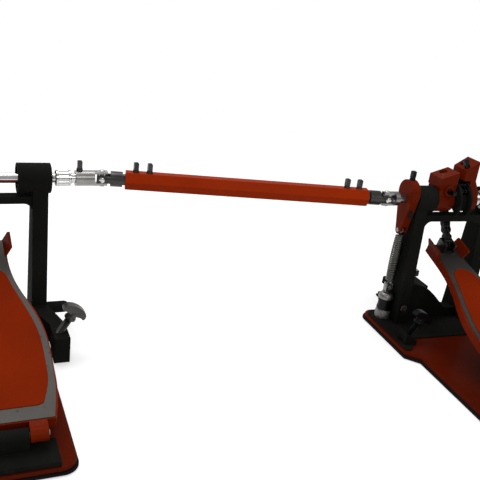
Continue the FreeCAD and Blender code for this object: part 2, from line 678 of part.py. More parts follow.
def footboard(pedal):
    """Footboard with its skirt, ears and knuckles, its tread panel and the chain clamp."""
    name = pedal + "_footboard"
    top = size("board_over")
    shell = pad(name + "_shell", "XY", top - size("board_skirt"), "Sizes.board_skirt", board_outline(0))
    pocket(shell, name + "_hollow", "XY", top - size("board_skirt"), "Sizes.board_skirt - Sizes.board_skin",
           board_outline(size("board_wall")))
    solids = [shell]
    ear_foot, ear_top = top - size("ear_thick"), top + size("ear_high")
    for side in (-1, 1):
        out, lean = side * size("toe_half"), side * size("ear_flare")
        back = out - side * size("ear_thick")
        solids.append(pad(f"{name}_ear_{side + 1}", "XZ", -size("board_end"), "Sizes.ear_long",
                          [(back, ear_foot), (out, ear_foot), (out, top), (out + lean, ear_top),
                           (back + lean, ear_top), (back, top)]))
        inner = size("knuckle_heel") / 2 + GAP
        start = min(side * inner, side * (inner + size("knuckle_board")))
        solids.append(rod(f"{name}_knuckle_{side + 1}", "Sizes.knuckle_dia", "Sizes.knuckle_board",
                          (start, 0, 0)))
        sides = ("Sizes.knuckle_board", "Sizes.board_start + Sizes.board_wall",
                 "Sizes.board_over + Sizes.hinge_dia / 2")
        solids.append(block(f"{name}_web_{side + 1}", sides, (start, 0, -size("hinge_dia") / 2)))
    reach = size("knuckle_heel") / 2 + GAP + size("knuckle_board")
    bore = rod(name + "_bore", "Sizes.hinge_dia + 2 * Sizes.running_gap",
               "Sizes.knuckle_heel + 2 * (Sizes.side_gap + Sizes.knuckle_board)", (-reach, 0, 0))
    piece(name, without(name, join(name + "_solid", *solids), bore), board_frame(pedal))
    panel = pad(pedal + "_panel", "XY", top, "Sizes.panel_thick", panel_outline())
    piece(pedal + "_tread_panel", panel, board_frame(pedal))
    chain_clamp(pedal, top)


def chain_clamp(pedal, top):
    """Clamp on the toe with the pin that the chain hangs on."""
    name = pedal + "_toe_clamp"
    half = size("chain_width") / 2 + GAP + size("clamp_cheek")
    long = toe_long(pedal)
    back = long - size("clamp_long") / 2
    wide = "Sizes.chain_width + 2 * (Sizes.side_gap + Sizes.clamp_cheek)"
    solids = [block(name + "_foot", (wide, "Sizes.clamp_long", "Sizes.clamp_cheek"), (-half, back, top)),
              rod(name + "_pin", "Sizes.toe_pin_dia", wide, (-half, long, size("toe_rise")))]
    for side in (-1, 1):
        low = -half if side < 0 else half - size("clamp_cheek")
        sides = ("Sizes.clamp_cheek", "Sizes.clamp_long",
                 "Sizes.toe_rise - Sizes.board_over + Sizes.toe_pin_dia")
        solids.append(block(f"{name}_cheek_{side + 1}", sides, (low, back, top)))
    piece(name, join(name, *solids), board_frame(pedal))


def heel(pedal):
    """Heel plate with its knuckle, and the hinge pin."""
    name = pedal + "_heel_plate"
    middle = BOARD_MIDDLE[pedal]
    hinge = (-size("hinge_back"), size("hinge_height"))
    half = size("knuckle_heel") / 2
    deep = "Sizes.base_back - Sizes.heel_front - 4 * Sizes.side_gap"
    plate = block(name + "_plate", ("2 * Sizes.heel_half", deep, "Sizes.heel_thick"),
                  (middle - size("heel_half"), -size("base_back") + 4 * GAP, BASE_TOP))
    barrel = rod(name + "_barrel", "Sizes.knuckle_dia", "Sizes.knuckle_heel", (middle - half, *hinge))
    web = block(name + "_web", ("Sizes.knuckle_heel", "Sizes.knuckle_dia",
                                "Sizes.hinge_height - Sizes.mat_thick - Sizes.plate_thick"),
                (middle - half, hinge[0] - size("knuckle_dia") / 2, BASE_TOP))
    bore = rod(name + "_bore", "Sizes.hinge_dia + 2 * Sizes.press_gap", "Sizes.knuckle_heel",
               (middle - half, *hinge))
    piece(name, without(name, join(name + "_solid", plate, barrel, web), bore), FRAMES[pedal])
    reach = half + 3 * GAP + size("knuckle_board")
    pin = rod(pedal + "_pin", "Sizes.hinge_dia",
              "Sizes.knuckle_heel + 2 * (3 * Sizes.side_gap + Sizes.knuckle_board)", (middle - reach, *hinge))
    piece(pedal + "_hinge_pin", pin, FRAMES[pedal])


# Cam and chain
HALF_TURN = 180
RUN_TURN = math.radians(size("run_angle"))
RUN_TOP = Vector(math.cos(RUN_TURN), math.sin(RUN_TURN), 0) * size("chain_radius") + Vector(0, HEIGHT, 0)


def run_foot(pedal):
    """Lower end of a straight run of chain, on the toe pin; Y and Z of the pedal."""
    return Vector(size("toe_y"), TOE_Z[pedal], 0)


def cam_ends(pedal):
    """Where a cam starts and ends along the axle."""
    half = size("channel") / 2 + size("cheek_thick")
    return BOARD_MIDDLE[pedal] - half, BOARD_MIDDLE[pedal] + half


def sector(radius, start, end):
    """Outline round the axle: a sector from start to end, the core elsewhere; degrees above +Y."""
    core = size("core_radius")

    def at(reach, degrees):
        angle = math.radians(degrees)
        return reach * math.cos(angle), HEIGHT + reach * math.sin(angle)

    middle = (start + end) / 2
    return [at(core, start), at(radius, start), (at(radius, middle), at(radius, end)), at(core, end),
            (at(core, middle + HALF_TURN), at(core, start))]


def cam(pedal):
    """Half-moon cam: two cheeks, a core and the floor that the wound chain lies on."""
    name = pedal + "_cam"
    low, high = cam_ends(pedal)
    start, end = size("cheek_from"), size("cheek_to")
    cheek = sector(size("cheek_radius"), start, end)
    solids = [pad(name + "_cheek_0", "YZ", low, "Sizes.cheek_thick", cheek),
              pad(name + "_cheek_1", "YZ", high - size("cheek_thick"), "Sizes.cheek_thick", cheek),
              pad(name + "_floor", "YZ", low + SINK, "Sizes.channel + 2 * (Sizes.cheek_thick - Sizes.sink)",
                  sector(size("floor_radius"), size("floor_from"), end))]
    bore = rod(name + "_bore", AXLE + " + 2 * Sizes.press_gap", "Sizes.channel + 2 * Sizes.cheek_thick",
               (low, 0, HEIGHT))
    piece(name, without(name, join(name + "_solid", *solids), bore), FRAMES[pedal])


def chain_run(pedal):
    """Straight run of chain from the toe pin to the cam: three rows of plates on rollers."""
    name = pedal + "_chain_run"
    foot = run_foot(pedal)
    along = RUN_TOP - foot
    count = int(size(pedal + "_links"))
    pitch = along.Length / count
    along.normalize()
    across = Vector(-along.y, along.x, 0)
    half, waist = size("chain_deep") / 2, size("chain_waist") / 2

    def at(reach, side):
        spot = foot + along * reach + across * side
        return spot.x, spot.y

    points = [at(0, half)]
    points += [(at((i + 0.5) * pitch, waist), at((i + 1) * pitch, half)) for i in range(count)]
    points += [(at(count * pitch + half, 0), at(count * pitch, -half))]
    points += [(at((i + 0.5) * pitch, -waist), at(i * pitch, -half)) for i in reversed(range(count))]
    points += [(at(-half, 0), at(0, half))]
    wide, plate, middle = size("chain_width"), size("chain_plate"), BOARD_MIDDLE[pedal]
    solids = [pad(f"{name}_plates_{row}", "YZ", middle + low, "Sizes.chain_plate", points)
              for row, low in enumerate((-wide / 2, -plate / 2, wide / 2 - plate))]
    for i in range(count + 1):
        y, z = at(i * pitch, 0)
        solids.append(rod(f"{name}_roller_{i}", "Sizes.roller_dia", "Sizes.chain_width",
                          (middle - wide / 2, y, z)))
    bore = rod(name + "_bore", "Sizes.toe_pin_dia + 2 * Sizes.running_gap", "Sizes.chain_width",
               (middle - wide / 2, foot.x, foot.y))
    piece(name, without(name, join(name + "_solid", *solids), bore), FRAMES[pedal])


# Axles, levers and beater hubs
SLEEVE_END = cam_ends("main")[0] - GAP


def lever(pedal, label, side):
    """Spring lever on the axle with a fork and a pin for the spring."""
    head, tip = size("lever_head"), size("lever_tip")
    lean = math.asin((head - tip) / (HEAD_Z - SPRING_HIGH))
    across, down = math.cos(lean), math.sin(lean)
    points = [(head * across, HEAD_Z - head * down), ((0, LEVER_TOP), (-head * across, HEAD_Z - head * down)),
              (-tip * across, SPRING_HIGH - tip * down),
              ((0, SPRING_HIGH - tip), (tip * across, SPRING_HIGH - tip * down))]
    middle = side * SPRING_X[pedal]
    low = middle - size("lever_thick") / 2
    arm = pad(label + "_arm", "YZ", low, "Sizes.lever_thick", points)
    hole = rod(label + "_hole", AXLE + " + 2 * Sizes.press_gap", "Sizes.lever_thick", (low, 0, HEIGHT))
    sides = ("Sizes.lever_slot", "4 * Sizes.lever_tip", "2 * Sizes.lever_tip + 2 * Sizes.side_gap")
    fork = block(label + "_fork", sides, (middle - size("lever_slot") / 2, -2 * tip, SPRING_HIGH - tip - GAP))
    seat = key_hole(label + "_seat", (middle, 0, LEVER_TOP), Z)
    body = without(label + "_forked", arm, hole, fork, seat)
    pin = rod(label + "_pin", "Sizes.spring_pin_dia", "Sizes.lever_thick", (low, 0, SPRING_HIGH))
    piece(label, join(label, body, pin), FRAMES[pedal])
    return key_screw(label + "_key", (middle, 0, LEVER_TOP), Z)


def socket(name, middle, foot):
    """Bore for a beater's rod, from a height over the axle to past the top of a hub."""
    return rod(name, "Sizes.beater_rod + 2 * Sizes.socket_gap", "2 * Sizes.main_hub_high",
               (middle, size("socket_shift"), HEIGHT + foot), Z)


def hub(label, start, end, heights, extras, tools):
    """Beater hub: a ring round the axle and a block, whose outline is X against height over the axle."""
    wide = f"{end - start}"
    ring = rod(label + "_ring", "2 * Sizes.hub_ring", wide, (start, 0, HEIGHT))
    tower = pad(label + "_tower", "XZ", -size("hub_depth") / 2, "Sizes.hub_depth",
                [(x, HEIGHT + high) for x, high in heights])
    bore = rod(label + "_bore", AXLE + " + 2 * Sizes.press_gap", wide, (start, 0, HEIGHT))
    piece(label, without(label, join(label + "_solid", ring, tower, *extras), bore, *tools))


def left_hub():
    """Left beater hub on the sleeve: a block with a boss and a key screw on its face."""
    start, end = size("left_hub_from"), SLEEVE_END
    middle, out = (start + end) / 2, start - size("left_hub_over")
    low, high, clear = size("left_hub_low"), size("left_hub_high"), size("housing_dia") / 2 + 2 * GAP
    face, lift = -size("hub_depth") / 2, HEIGHT + low / 2
    boss = rod("left_hub_boss", "Sizes.hub_boss", "Sizes.key_flange + Sizes.sink",
               (middle, face + SINK, lift), Y * -1)
    key_at = (middle, face - size("key_flange"), lift)
    hub("left_beater_hub", start, end,
        [(start, 0), (end, 0), (end, high), (out, low), (out, clear), (start, clear)], [boss],
        [socket("left_socket", middle, size("axle_dia") / 2 + 2 * GAP),
         key_hole("left_hub_seat", key_at, Y * -1)])
    return key_screw("left_hub_key", key_at, Y * -1)


def main_hub():
    """Main beater hub: a ring beside the cam and a block half over the cam, a key screw square to its top."""
    first, last = (at + size("main_hub_shift") for at in cam_ends("main"))
    start, end = cam_ends("main")[1] + GAP, size("main_hub_to")
    low, high, clear = size("main_hub_low"), size("main_hub_high"), size("cheek_radius") + 2 * GAP
    slope = (high - low) / (last - first)
    axis = Vector(-slope, 0, 1)
    axis.normalize()
    inset = size("key_dia") / 2 + 2 * GAP
    key_at = (first + inset, -size("hub_depth") / 4, HEIGHT + low + slope * inset)
    hub("main_beater_hub", start, end,
        [(start, 0), (end, 0), (end, size("hub_shoulder")), (last, clear), (last, high), (first, low),
         (first, clear), (start, clear)], [],
        [socket("main_socket", (first + last) / 2, clear), key_hole("main_hub_seat", key_at, axis)])
    return key_screw("main_hub_key", key_at, axis)


def main_axle():
    """Main axle with its collar and the spigot that runs inside the left beater's sleeve."""
    low, tip = cam_ends("main")[0], -INNER["main"] - size("post_width") / 2
    body = rod("axle_body", AXLE, f"{AXLE_END['main'] - low}", (low, 0, HEIGHT))
    spigot = rod("axle_spigot", "Sizes.spigot_dia", f"{low - tip + SINK}", (tip, 0, HEIGHT))
    collar = rod("axle_collar", "Sizes.axle_collar_dia", "Sizes.axle_collar_len",
                 (size("main_hub_to") + GAP, 0, HEIGHT))
    piece("main_axle", join("main_axle", body, spigot, collar))


def sleeve():
    """Sleeve of the left beater with the stub yoke at its outer end."""
    start = CROSS_RIGHT.x + size("yoke_throat") + 2 * SINK
    tube = rod("sleeve_tube", AXLE, f"{SLEEVE_END - start}", (start, 0, HEIGHT))
    stub = yoke("sleeve_yoke", CROSS_RIGHT, X, Z, "Sizes.running_gap", "Sizes.stub_body")
    deep = -INNER["main"] - size("post_width") / 2 - 2 * GAP
    bore = rod("sleeve_bore", "Sizes.spigot_dia + 2 * Sizes.running_gap", f"{SLEEVE_END - deep}",
               (deep, 0, HEIGHT))
    piece("left_sleeve", without("left_sleeve", join("sleeve_solid", tube, stub), bore))


def slave_axle():
    """Slave axle with its collar, and the yoke clamped on its end."""
    tail, end = AXLE_END["slave"], SLAVE_CROSS - size("yoke_throat") - size("axle_short")
    body = rod("slave_body", AXLE, f"{end + tail}", (-tail, 0, HEIGHT))
    collar = rod("slave_collar", "Sizes.collar_dia", "Sizes.collar_len", (COLLAR_FROM, 0, HEIGHT))
    piece("slave_axle", join("slave_axle", body, collar), FRAMES["slave"])
    at = Vector(SLAVE_CROSS, 0, HEIGHT)
    fork = yoke("slave_fork", at, X * -1, Z, "Sizes.running_gap", "Sizes.yoke_clamp")
    deep = rod("slave_yoke_bore", AXLE + " + 2 * Sizes.press_gap", "Sizes.yoke_clamp + Sizes.yoke_throat",
               at - X * (size("yoke_throat") + 2 * SINK), X * -1)
    barrel = size("yoke_throat") + size("yoke_clamp")
    key_at = at + Vector(size("key_dia") / 2 + 2 * GAP - barrel, 0, size("yoke_dia") / 2)
    seat = key_hole("slave_yoke_seat", key_at, Z)
    piece("slave_yoke", without("slave_yoke", fork, deep, seat), FRAMES["slave"])
    return key_screw("slave_yoke_key", key_at, Z)


# Springs and their tension rods
def arc_between(start, tangent, end):
    """Edge of the arc that leaves start along a tangent and ends at a point."""
    chord = end - start
    lean = tangent - chord * (tangent.dot(chord) / chord.dot(chord))
    if lean.Length < TINY ** 2:
        return Part.LineSegment(start, end).toShape()
    angle = tangent.getAngle(chord)
    rise = lean.normalize() * (chord.Length / 2 * math.tan(angle / 2))
    return Part.Arc(start, (start + end) / 2 + rise, end).toShape()


def biarc(start, from_dir, end, to_dir):
    """Two arcs that join two points, smooth at both and in between."""
    chord = end - start
    both = from_dir + to_dir
    square = 2 * (from_dir.dot(to_dir) - 1)
    linear, plain = -2 * chord.dot(both), chord.dot(chord)
    if abs(square) < TINY ** 2:
        reach = -plain / linear
    else:
        reach = (-linear - math.sqrt(linear ** 2 - 4 * square * plain)) / (2 * square)
    joint = (start + end + (from_dir - to_dir) * reach) / 2
    first = arc_between(start, from_dir, joint)
    back = arc_between(end, to_dir * -1, joint)
    second = Part.Arc(joint, back.valueAt((back.FirstParameter + back.LastParameter) / 2), end).toShape()
    return [first, second]


LEAVE_OUT, LEAVE_LOW, LEAVE_WAY = 0.74, 0.82, (-1, -0.35, 0.5)
CROSS_OUT, CROSS_LOW, CROSS_WAY = 0.4, 0.6, (0.1, -0.75, 0.62)
HOOK_STOPS = (240, 180, 90, 0, -25)


def hook_guide(middle, low, radius):
    """Points and directions from a coil's upper end round the pin above it; middle is the pin."""
    loop = size("hook_radius")
    guide = [((0, radius * LEAVE_OUT, low * LEAVE_LOW), LEAVE_WAY),
             ((-radius * CROSS_OUT, 0, low * CROSS_LOW), CROSS_WAY)]
    for degrees in HOOK_STOPS:
        out, up = math.cos(math.radians(degrees)), math.sin(math.radians(degrees))
        guide.append(((0, loop * out, loop * up), (0, up, -out)))
    return [(middle + Vector(*at), Vector(*way).normalize()) for at, way in guide]


def spring_guide():
    """Points and directions along a spring on the Z axis, from its lower hook to its upper one."""
    radius, pitch = (size("spring_dia") - size("spring_wire")) / 2, size("spring_pitch")
    turns = int((SPRING_SPAN - 2 * size("hook_room")) / pitch + TINY)
    centre = Vector(0, 0, SPRING_HIGH - SPRING_SPAN / 2)
    start = -turns * pitch / 2
    rise = pitch / (2 * math.pi * radius)
    coil = []
    for half in range(2 * turns + 1):
        side = 1 if half % 2 == 0 else -1
        at = centre + Vector(side * radius, 0, start + half * pitch / 2)
        coil.append((at, Vector(0, side, rise).normalize()))
    upper = hook_guide(Vector(0, 0, SPRING_HIGH), -start - SPRING_SPAN / 2, radius)
    flip = Rotation(X, HALF_TURN)
    lower = [(flip.multVec(at - centre) + centre, flip.multVec(way) * -1) for at, way in reversed(upper)]
    return lower + coil + upper


def self_gap(edges):
    """Least clear distance between two stretches of the wire that aren't neighbours along it."""
    step = size("spring_wire") / 4
    points = []
    for edge in edges:
        count = max(2, int(edge.Length / step))
        points += edge.discretize(Number=count + 1)[:-1]
    apart = int(3 * size("spring_wire") / step)
    least = min((points[i] - points[j]).Length for i in range(0, len(points), 2)
                for j in range(i + apart, min(i + 40 * apart // 2, len(points))))
    return least - size("spring_wire")


def coil_shape():
    """One spring as a single unbroken tube on the Z axis."""
    guide = spring_guide()
    edges = []
    for (start, from_dir), (end, to_dir) in zip(guide, guide[1:]):
        edges += biarc(start, from_dir, end, to_dir)
    path = Part.Wire(edges)
    at, way = guide[0]
    section = Part.Wire(Part.Circle(at, way, size("spring_wire") / 2).toShape())
    shell = Part.BRepOffsetAPI.MakePipeShell(path)
    shell.add(section)
    shell.build()
    shell.makeSolid()
    return shell.shape(), self_gap(edges)


def spring(pedal, label, side, shape):
    """A spring between its two pins, and the felt damper inside it."""
    coil = doc.addObject("Part::Feature", label + "_spring")
    coil.Shape = shape
    middle = side * SPRING_X[pedal]
    place(coil, (middle, 0, 0))
    piece(label + "_spring", coil, FRAMES[pedal])
    long = size("felt_share") * SPRING_SPAN
    felt = rod(label + "_felt", "Sizes.felt_dia", f"{long}",
               (middle, 0, SPRING_HIGH - size("felt_drop") - long), Z)
    piece(label + "_felt", felt, FRAMES[pedal])


def tension_rod(name, middle):
    """Tension rod with its clevis and pin, dome nut, lock ring and knurled nut."""
    ring_low, dome_low = size("ring_low"), size("dome_low")
    nut = "Sizes.nut_dia"
    knurled = rod(name + "_knurled", nut, f"{ring_low - BASE_TOP}", (middle, 0, BASE_TOP), Z)
    ring = rod(name + "_lock", nut + " - 2 * Sizes.side_gap", "Sizes.dome_low - Sizes.ring_low",
               (middle, 0, ring_low), Z)
    dome = cone(name + "_dome", nut, "Sizes.dome_top", "Sizes.nut_high", (middle, 0, dome_low))
    solids = []
    for part, high in ((knurled, ring_low - BASE_TOP), (ring, dome_low - ring_low), (dome, size("nut_high"))):
        hole = rod(part.Name + "_hole", "Sizes.rod_dia + 2 * Sizes.press_gap", f"{high}",
                   part.Placement.Base, Z)
        solids.append(without(part.Name + "_bored", part, hole))
    pin_z, half = size("spring_low"), size("lever_thick") / 2
    foot = pin_z - size("clevis_deep")
    deep = size("spring_pin_dia") + 2 * size("clevis_wall")
    post_rod = rod(name + "_rod", "Sizes.rod_dia", f"{foot + SINK - BASE_TOP}", (middle, 0, BASE_TOP), Z)
    body = block(name + "_clevis", ("Sizes.lever_thick", f"{deep}", f"Sizes.clevis_deep + {deep / 2}"),
                 (middle - half, -deep / 2, foot))
    floor = pin_z - size("hook_radius") - size("spring_wire") - GAP
    slot = block(name + "_slot", ("Sizes.lever_slot", f"{deep}", "2 * Sizes.clevis_deep"),
                 (middle - size("lever_slot") / 2, -deep / 2, floor))
    pin = rod(name + "_pin", "Sizes.spring_pin_dia", "Sizes.lever_thick", (middle - half, 0, pin_z))
    fork = without(name + "_fork", join(name + "_solid", post_rod, body), slot)
    solids.append(join(name + "_eye", fork, pin))
    return solids


# Drive shaft and its universal joints
LEVEL_PIN = Z.cross(SHAFT)


def yoke(name, at, away, pin, gap, solid):
    """Yoke of a universal joint: a barrel that leaves the cross, with two ears across a pin."""
    side = pin.cross(away)
    turn = Rotation(side, pin, away, "ZYX")
    reach, throat, wide = size("yoke_reach"), size("yoke_throat"), size("yoke_dia")
    barrel = rod(name + "_barrel", "Sizes.yoke_dia", f"Sizes.yoke_reach + Sizes.yoke_throat + {solid}",
                 at - away * reach, away)
    deep = "Sizes.yoke_reach + Sizes.yoke_throat + Sizes.sink"

    def cutter(tag, sides, low):
        return block(name + tag, sides, at + turn.multVec(Vector(*low, -reach - SINK)), turn)

    tools = [cutter("_throat", ("2 * Sizes.yoke_dia", "Sizes.yoke_gap", deep),
                    (-wide, -size("yoke_gap") / 2))]
    for tag, low in (("_trim_0", -size("yoke_ear") / 2 - wide), ("_trim_1", size("yoke_ear") / 2)):
        tools.append(cutter(tag, ("Sizes.yoke_dia", "2 * Sizes.yoke_dia", deep), (low, -wide)))
    tools.append(rod(name + "_hole", f"Sizes.cross_pin + 2 * {gap}", "2 * Sizes.yoke_dia",
                     at - pin * wide, pin))
    return without(name, barrel, *tools)


def cross(label, at):
    """Cross of a universal joint: a block with an upright and a level pin."""
    half, reach = size("cross_cube") / 2, size("yoke_dia") / 2 - GAP / 2
    turn = Rotation(LEVEL_PIN.cross(Z), LEVEL_PIN, Z, "ZYX")
    corner = at - turn.multVec(Vector(half, half, half))
    cube = block(label + "_cube", ("Sizes.cross_cube",) * 3, corner, turn)
    pins = [rod(f"{label}_pin_{i}", "Sizes.cross_pin", "Sizes.yoke_dia - Sizes.side_gap", at - way * reach,
                way) for i, way in enumerate((Z, LEVEL_PIN))]
    piece(label, join(label, cube, *pins))


def drive_shaft():
    """Faceted tube with two key screws at each end, and the hexagonal bar with a yoke in each end."""
    start, length = CROSS_LEFT + SHAFT * size("tube_start"), "Sizes.shaft_span - 2 * Sizes.tube_start"
    outer = hexagon("tube_outer", "Sizes.tube_across", length, start, SHAFT)
    inner = hexagon("tube_inner", "Sizes.bar_across + 2 * Sizes.bar_gap", length, start, SHAFT)
    tools, screws = [inner], []
    lift = Z * (size("tube_across") / 2)
    for end, at, away in (("left", CROSS_LEFT, SHAFT), ("right", CROSS_RIGHT, SHAFT * -1)):
        for i in range(2):
            spot = at + away * (size("tube_start") + size("screw_first") + i * size("screw_step")) + lift
            tools.append(key_hole(f"tube_seat_{end}_{i}", spot, Z))
            screws.append(key_screw(f"tube_screw_{end}_{i}", spot, Z))
        foot = size("yoke_throat") + size("yoke_body") - 2 * SINK
        bar = hexagon(f"{end}_bar", "Sizes.bar_across", f"Sizes.tube_start + Sizes.bar_engaged - {foot}",
                      at + away * foot, away)
        fork = yoke(f"{end}_bar_yoke", at, away, LEVEL_PIN, "Sizes.cross_gap", "Sizes.yoke_body")
        piece(f"{end}_shaft_bar", join(f"{end}_shaft_bar", fork, bar))
    piece("drive_tube", without("drive_tube", outer, *tools))
    piece("tube_screws", group("tube_screws", *screws))


# Hoop clamp
def hoop_clamp():
    """Screw with a cross handle and the threaded jaw that closes on a drum's hoop."""
    at = Vector(0, size("hoop_screw_y"), BASE_TOP)
    flange = rod("hoop_flange", "Sizes.hoop_flange_dia", "Sizes.hoop_flange_high", at, Z)
    long = f"Sizes.hoop_screw_top - {BASE_TOP} + Sizes.sink"
    shank = rod("hoop_shank", "Sizes.hoop_screw_dia", long, at, Z)
    handle = block("hoop_handle", ("Sizes.hoop_handle", "Sizes.hoop_screw_dia", "Sizes.hoop_screw_dia"),
                   (-size("hoop_handle") / 2, at.y - size("hoop_screw_dia") / 2, size("hoop_screw_top")))
    piece("main_hoop_screw", join("hoop_screw", flange, shank, handle))
    low, back, tip = BASE_TOP + size("hoop_gap"), size("jaw_back"), size("tongue_front")
    lip, high = low - size("jaw_lip"), low + size("jaw_thick")
    half, chamfer = size("tongue_half") - size("jaw_inset"), size("jaw_chamfer")
    plate = pad("jaw_plate", "YZ", -half, f"{2 * half}",
                [(back, low), (tip - size("jaw_lip"), low), (tip - size("jaw_lip"), lip), (tip, lip),
                 (tip, high - chamfer), (tip - chamfer, high), (back, high)])
    hole = rod("jaw_hole", "Sizes.hoop_screw_dia + 2 * Sizes.running_gap", "2 * Sizes.jaw_thick",
               (0, at.y, low - SINK), Z)
    piece("main_hoop_jaw", without("hoop_jaw", plate, hole))


# The whole object
COIL, COIL_GAP = coil_shape()
print("spring self gap", round(COIL_GAP, 3))
for pedal in FRAMES:
    base(pedal)
    for side in (-1, 1):
        post(pedal, side)
    bearings(pedal)
    bridge(pedal)
    heel(pedal)
    footboard(pedal)
    cam(pedal)
    chain_run(pedal)
    t_bolt(pedal)
crossmember()
spur_block()
frame_screws()
main_axle()
sleeve()
right_keys = [lever("main", "right_lever", 1), main_hub()]
left_keys = [lever("main", "left_lever", -1), left_hub()]
slave_keys = [lever("slave", "slave_lever", -1), slave_axle()]
piece("main_axle_screws", group("main_axle_screws", *right_keys))
piece("left_drive_screws", group("left_drive_screws", *left_keys))
piece("slave_axle_screws", group("slave_axle_screws", *slave_keys), FRAMES["slave"])
for pedal, label, side in (("main", "right", 1), ("main", "left", -1), ("slave", "slave", -1)):
    spring(pedal, label, side, COIL)
main_rods = tension_rod("right_rod", SPRING_X["main"]) + tension_rod("left_rod", -SPRING_X["main"])
piece("main_tension_nuts", group("main_tension_nuts", *main_rods))
slave_rods = tension_rod("slave_rod", -SPRING_X["slave"])
piece("slave_tension_nuts", group("slave_tension_nuts", *slave_rods), FRAMES["slave"])
cross("right_cross", CROSS_RIGHT)
cross("left_cross", CROSS_LEFT)
drive_shaft()
hoop_clamp()

doc.recompute()
for obj in doc.Objects:
    if "Invalid" in obj.State or "Error" in obj.State:
        raise RuntimeError(f"{obj.Name} {obj.Label}: {obj.State}")
for obj in PIECES:
    if obj.Shape.isNull() or not obj.Shape.isValid():
        raise RuntimeError(f"{obj.Label}: bad shape")
os.makedirs("parts", exist_ok=True)
for obj in PIECES:
    obj.Shape.exportStep(f"parts/{obj.Label}.step")
print(len(PIECES), "pieces")
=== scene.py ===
"""Double bass drum pedal: finishes, chains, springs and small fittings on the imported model."""
import json
import logging
import math
from dataclasses import dataclass, field
from enum import Enum
from typing import Any, Iterable, Sequence

import bmesh
import bpy
from mathutils import Euler, Matrix, Vector
from mathutils.geometry import interpolate_bezier


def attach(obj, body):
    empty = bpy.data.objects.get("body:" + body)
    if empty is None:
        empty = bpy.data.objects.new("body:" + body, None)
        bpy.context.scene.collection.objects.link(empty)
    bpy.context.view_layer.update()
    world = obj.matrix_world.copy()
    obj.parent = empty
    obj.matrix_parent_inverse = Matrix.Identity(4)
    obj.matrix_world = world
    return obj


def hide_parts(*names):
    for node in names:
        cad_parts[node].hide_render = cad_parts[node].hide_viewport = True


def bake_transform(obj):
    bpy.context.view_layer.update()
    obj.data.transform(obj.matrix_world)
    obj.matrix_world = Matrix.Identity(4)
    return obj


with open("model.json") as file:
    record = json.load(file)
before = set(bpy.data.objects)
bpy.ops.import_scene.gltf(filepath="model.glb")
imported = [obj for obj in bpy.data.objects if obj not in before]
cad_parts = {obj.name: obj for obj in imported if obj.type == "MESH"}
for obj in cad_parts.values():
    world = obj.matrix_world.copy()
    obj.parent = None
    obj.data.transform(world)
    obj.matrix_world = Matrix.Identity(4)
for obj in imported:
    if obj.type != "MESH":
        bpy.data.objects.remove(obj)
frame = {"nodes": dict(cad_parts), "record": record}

LOG = logging.getLogger("double_pedal")
MM = 0.001
EDGE_STEPS = 2
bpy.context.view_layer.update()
BODY_OF = {node: body for body, nodes in frame["record"]["behaviour"]["bodies"].items() for node in nodes}
SLOT_OF = {row["node"]: row["material_slot"] for row in frame["record"]["subparts"]}
Point = tuple[float, float, float]
Colour = Point
Pair = tuple[float, float]
Profile = Sequence[Pair]
Outline = list[Pair]
Piece, Mesh, Socket = bpy.types.Object, bpy.types.Mesh, bpy.types.NodeSocket


class Slot(Enum):
    """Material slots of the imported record."""

    PAINT = "orange_paint"
    PANEL = "orange_panel"
    CASTING = "black_casting"
    CHROME = "chrome"
    NICKEL = "nickel_steel"
    RUBBER = "rubber"
    FELT = "felt"


class Way(Enum):
    """How a thin line on a finish runs."""

    ALONG_X = (1.0, 40.0, 40.0)
    ALONG_Y = (40.0, 1.0, 40.0)
    ALONG_Z = (40.0, 40.0, 1.0)


Noise = Pair | tuple[float, float, Way]


class Wire:
    """A value in a node tree that takes part in plain arithmetic."""

    def __init__(self, graph: "Graph", socket: Socket) -> None:
        """Keep the tree's builder and the socket that gives the value."""
        self.graph = graph
        self.socket = socket

    def _math(self, operation: str, first: Any, second: Any) -> "Wire":
        """Add one Math node; each value is a Wire or a number."""
        node = self.graph.node("ShaderNodeMath", {0: first, 1: second}, operation=operation)
        return Wire(self.graph, node.outputs[0])

    def __add__(self, other: Any) -> "Wire":
        """Sum."""
        return self._math("ADD", self, other)

    def __sub__(self, other: Any) -> "Wire":
        """Difference."""
        return self._math("SUBTRACT", self, other)

    def __rsub__(self, other: Any) -> "Wire":
        """Difference, the number first."""
        return self._math("SUBTRACT", other, self)

    def __mul__(self, other: Any) -> "Wire":
        """Product."""
        return self._math("MULTIPLY", self, other)

    __radd__, __rmul__ = __add__, __mul__

    def modulo(self, other: Any) -> "Wire":
        """Remainder."""
        return self._math("MODULO", self, other)

    def above(self, level: float, soft: float) -> "Wire":
        """A mask that rises from 0 at a level to 1 over a soft step."""
        step = (self - level) * (1.0 / soft)
        return self._math("MINIMUM", self._math("MAXIMUM", step, 0.0), 1.0)


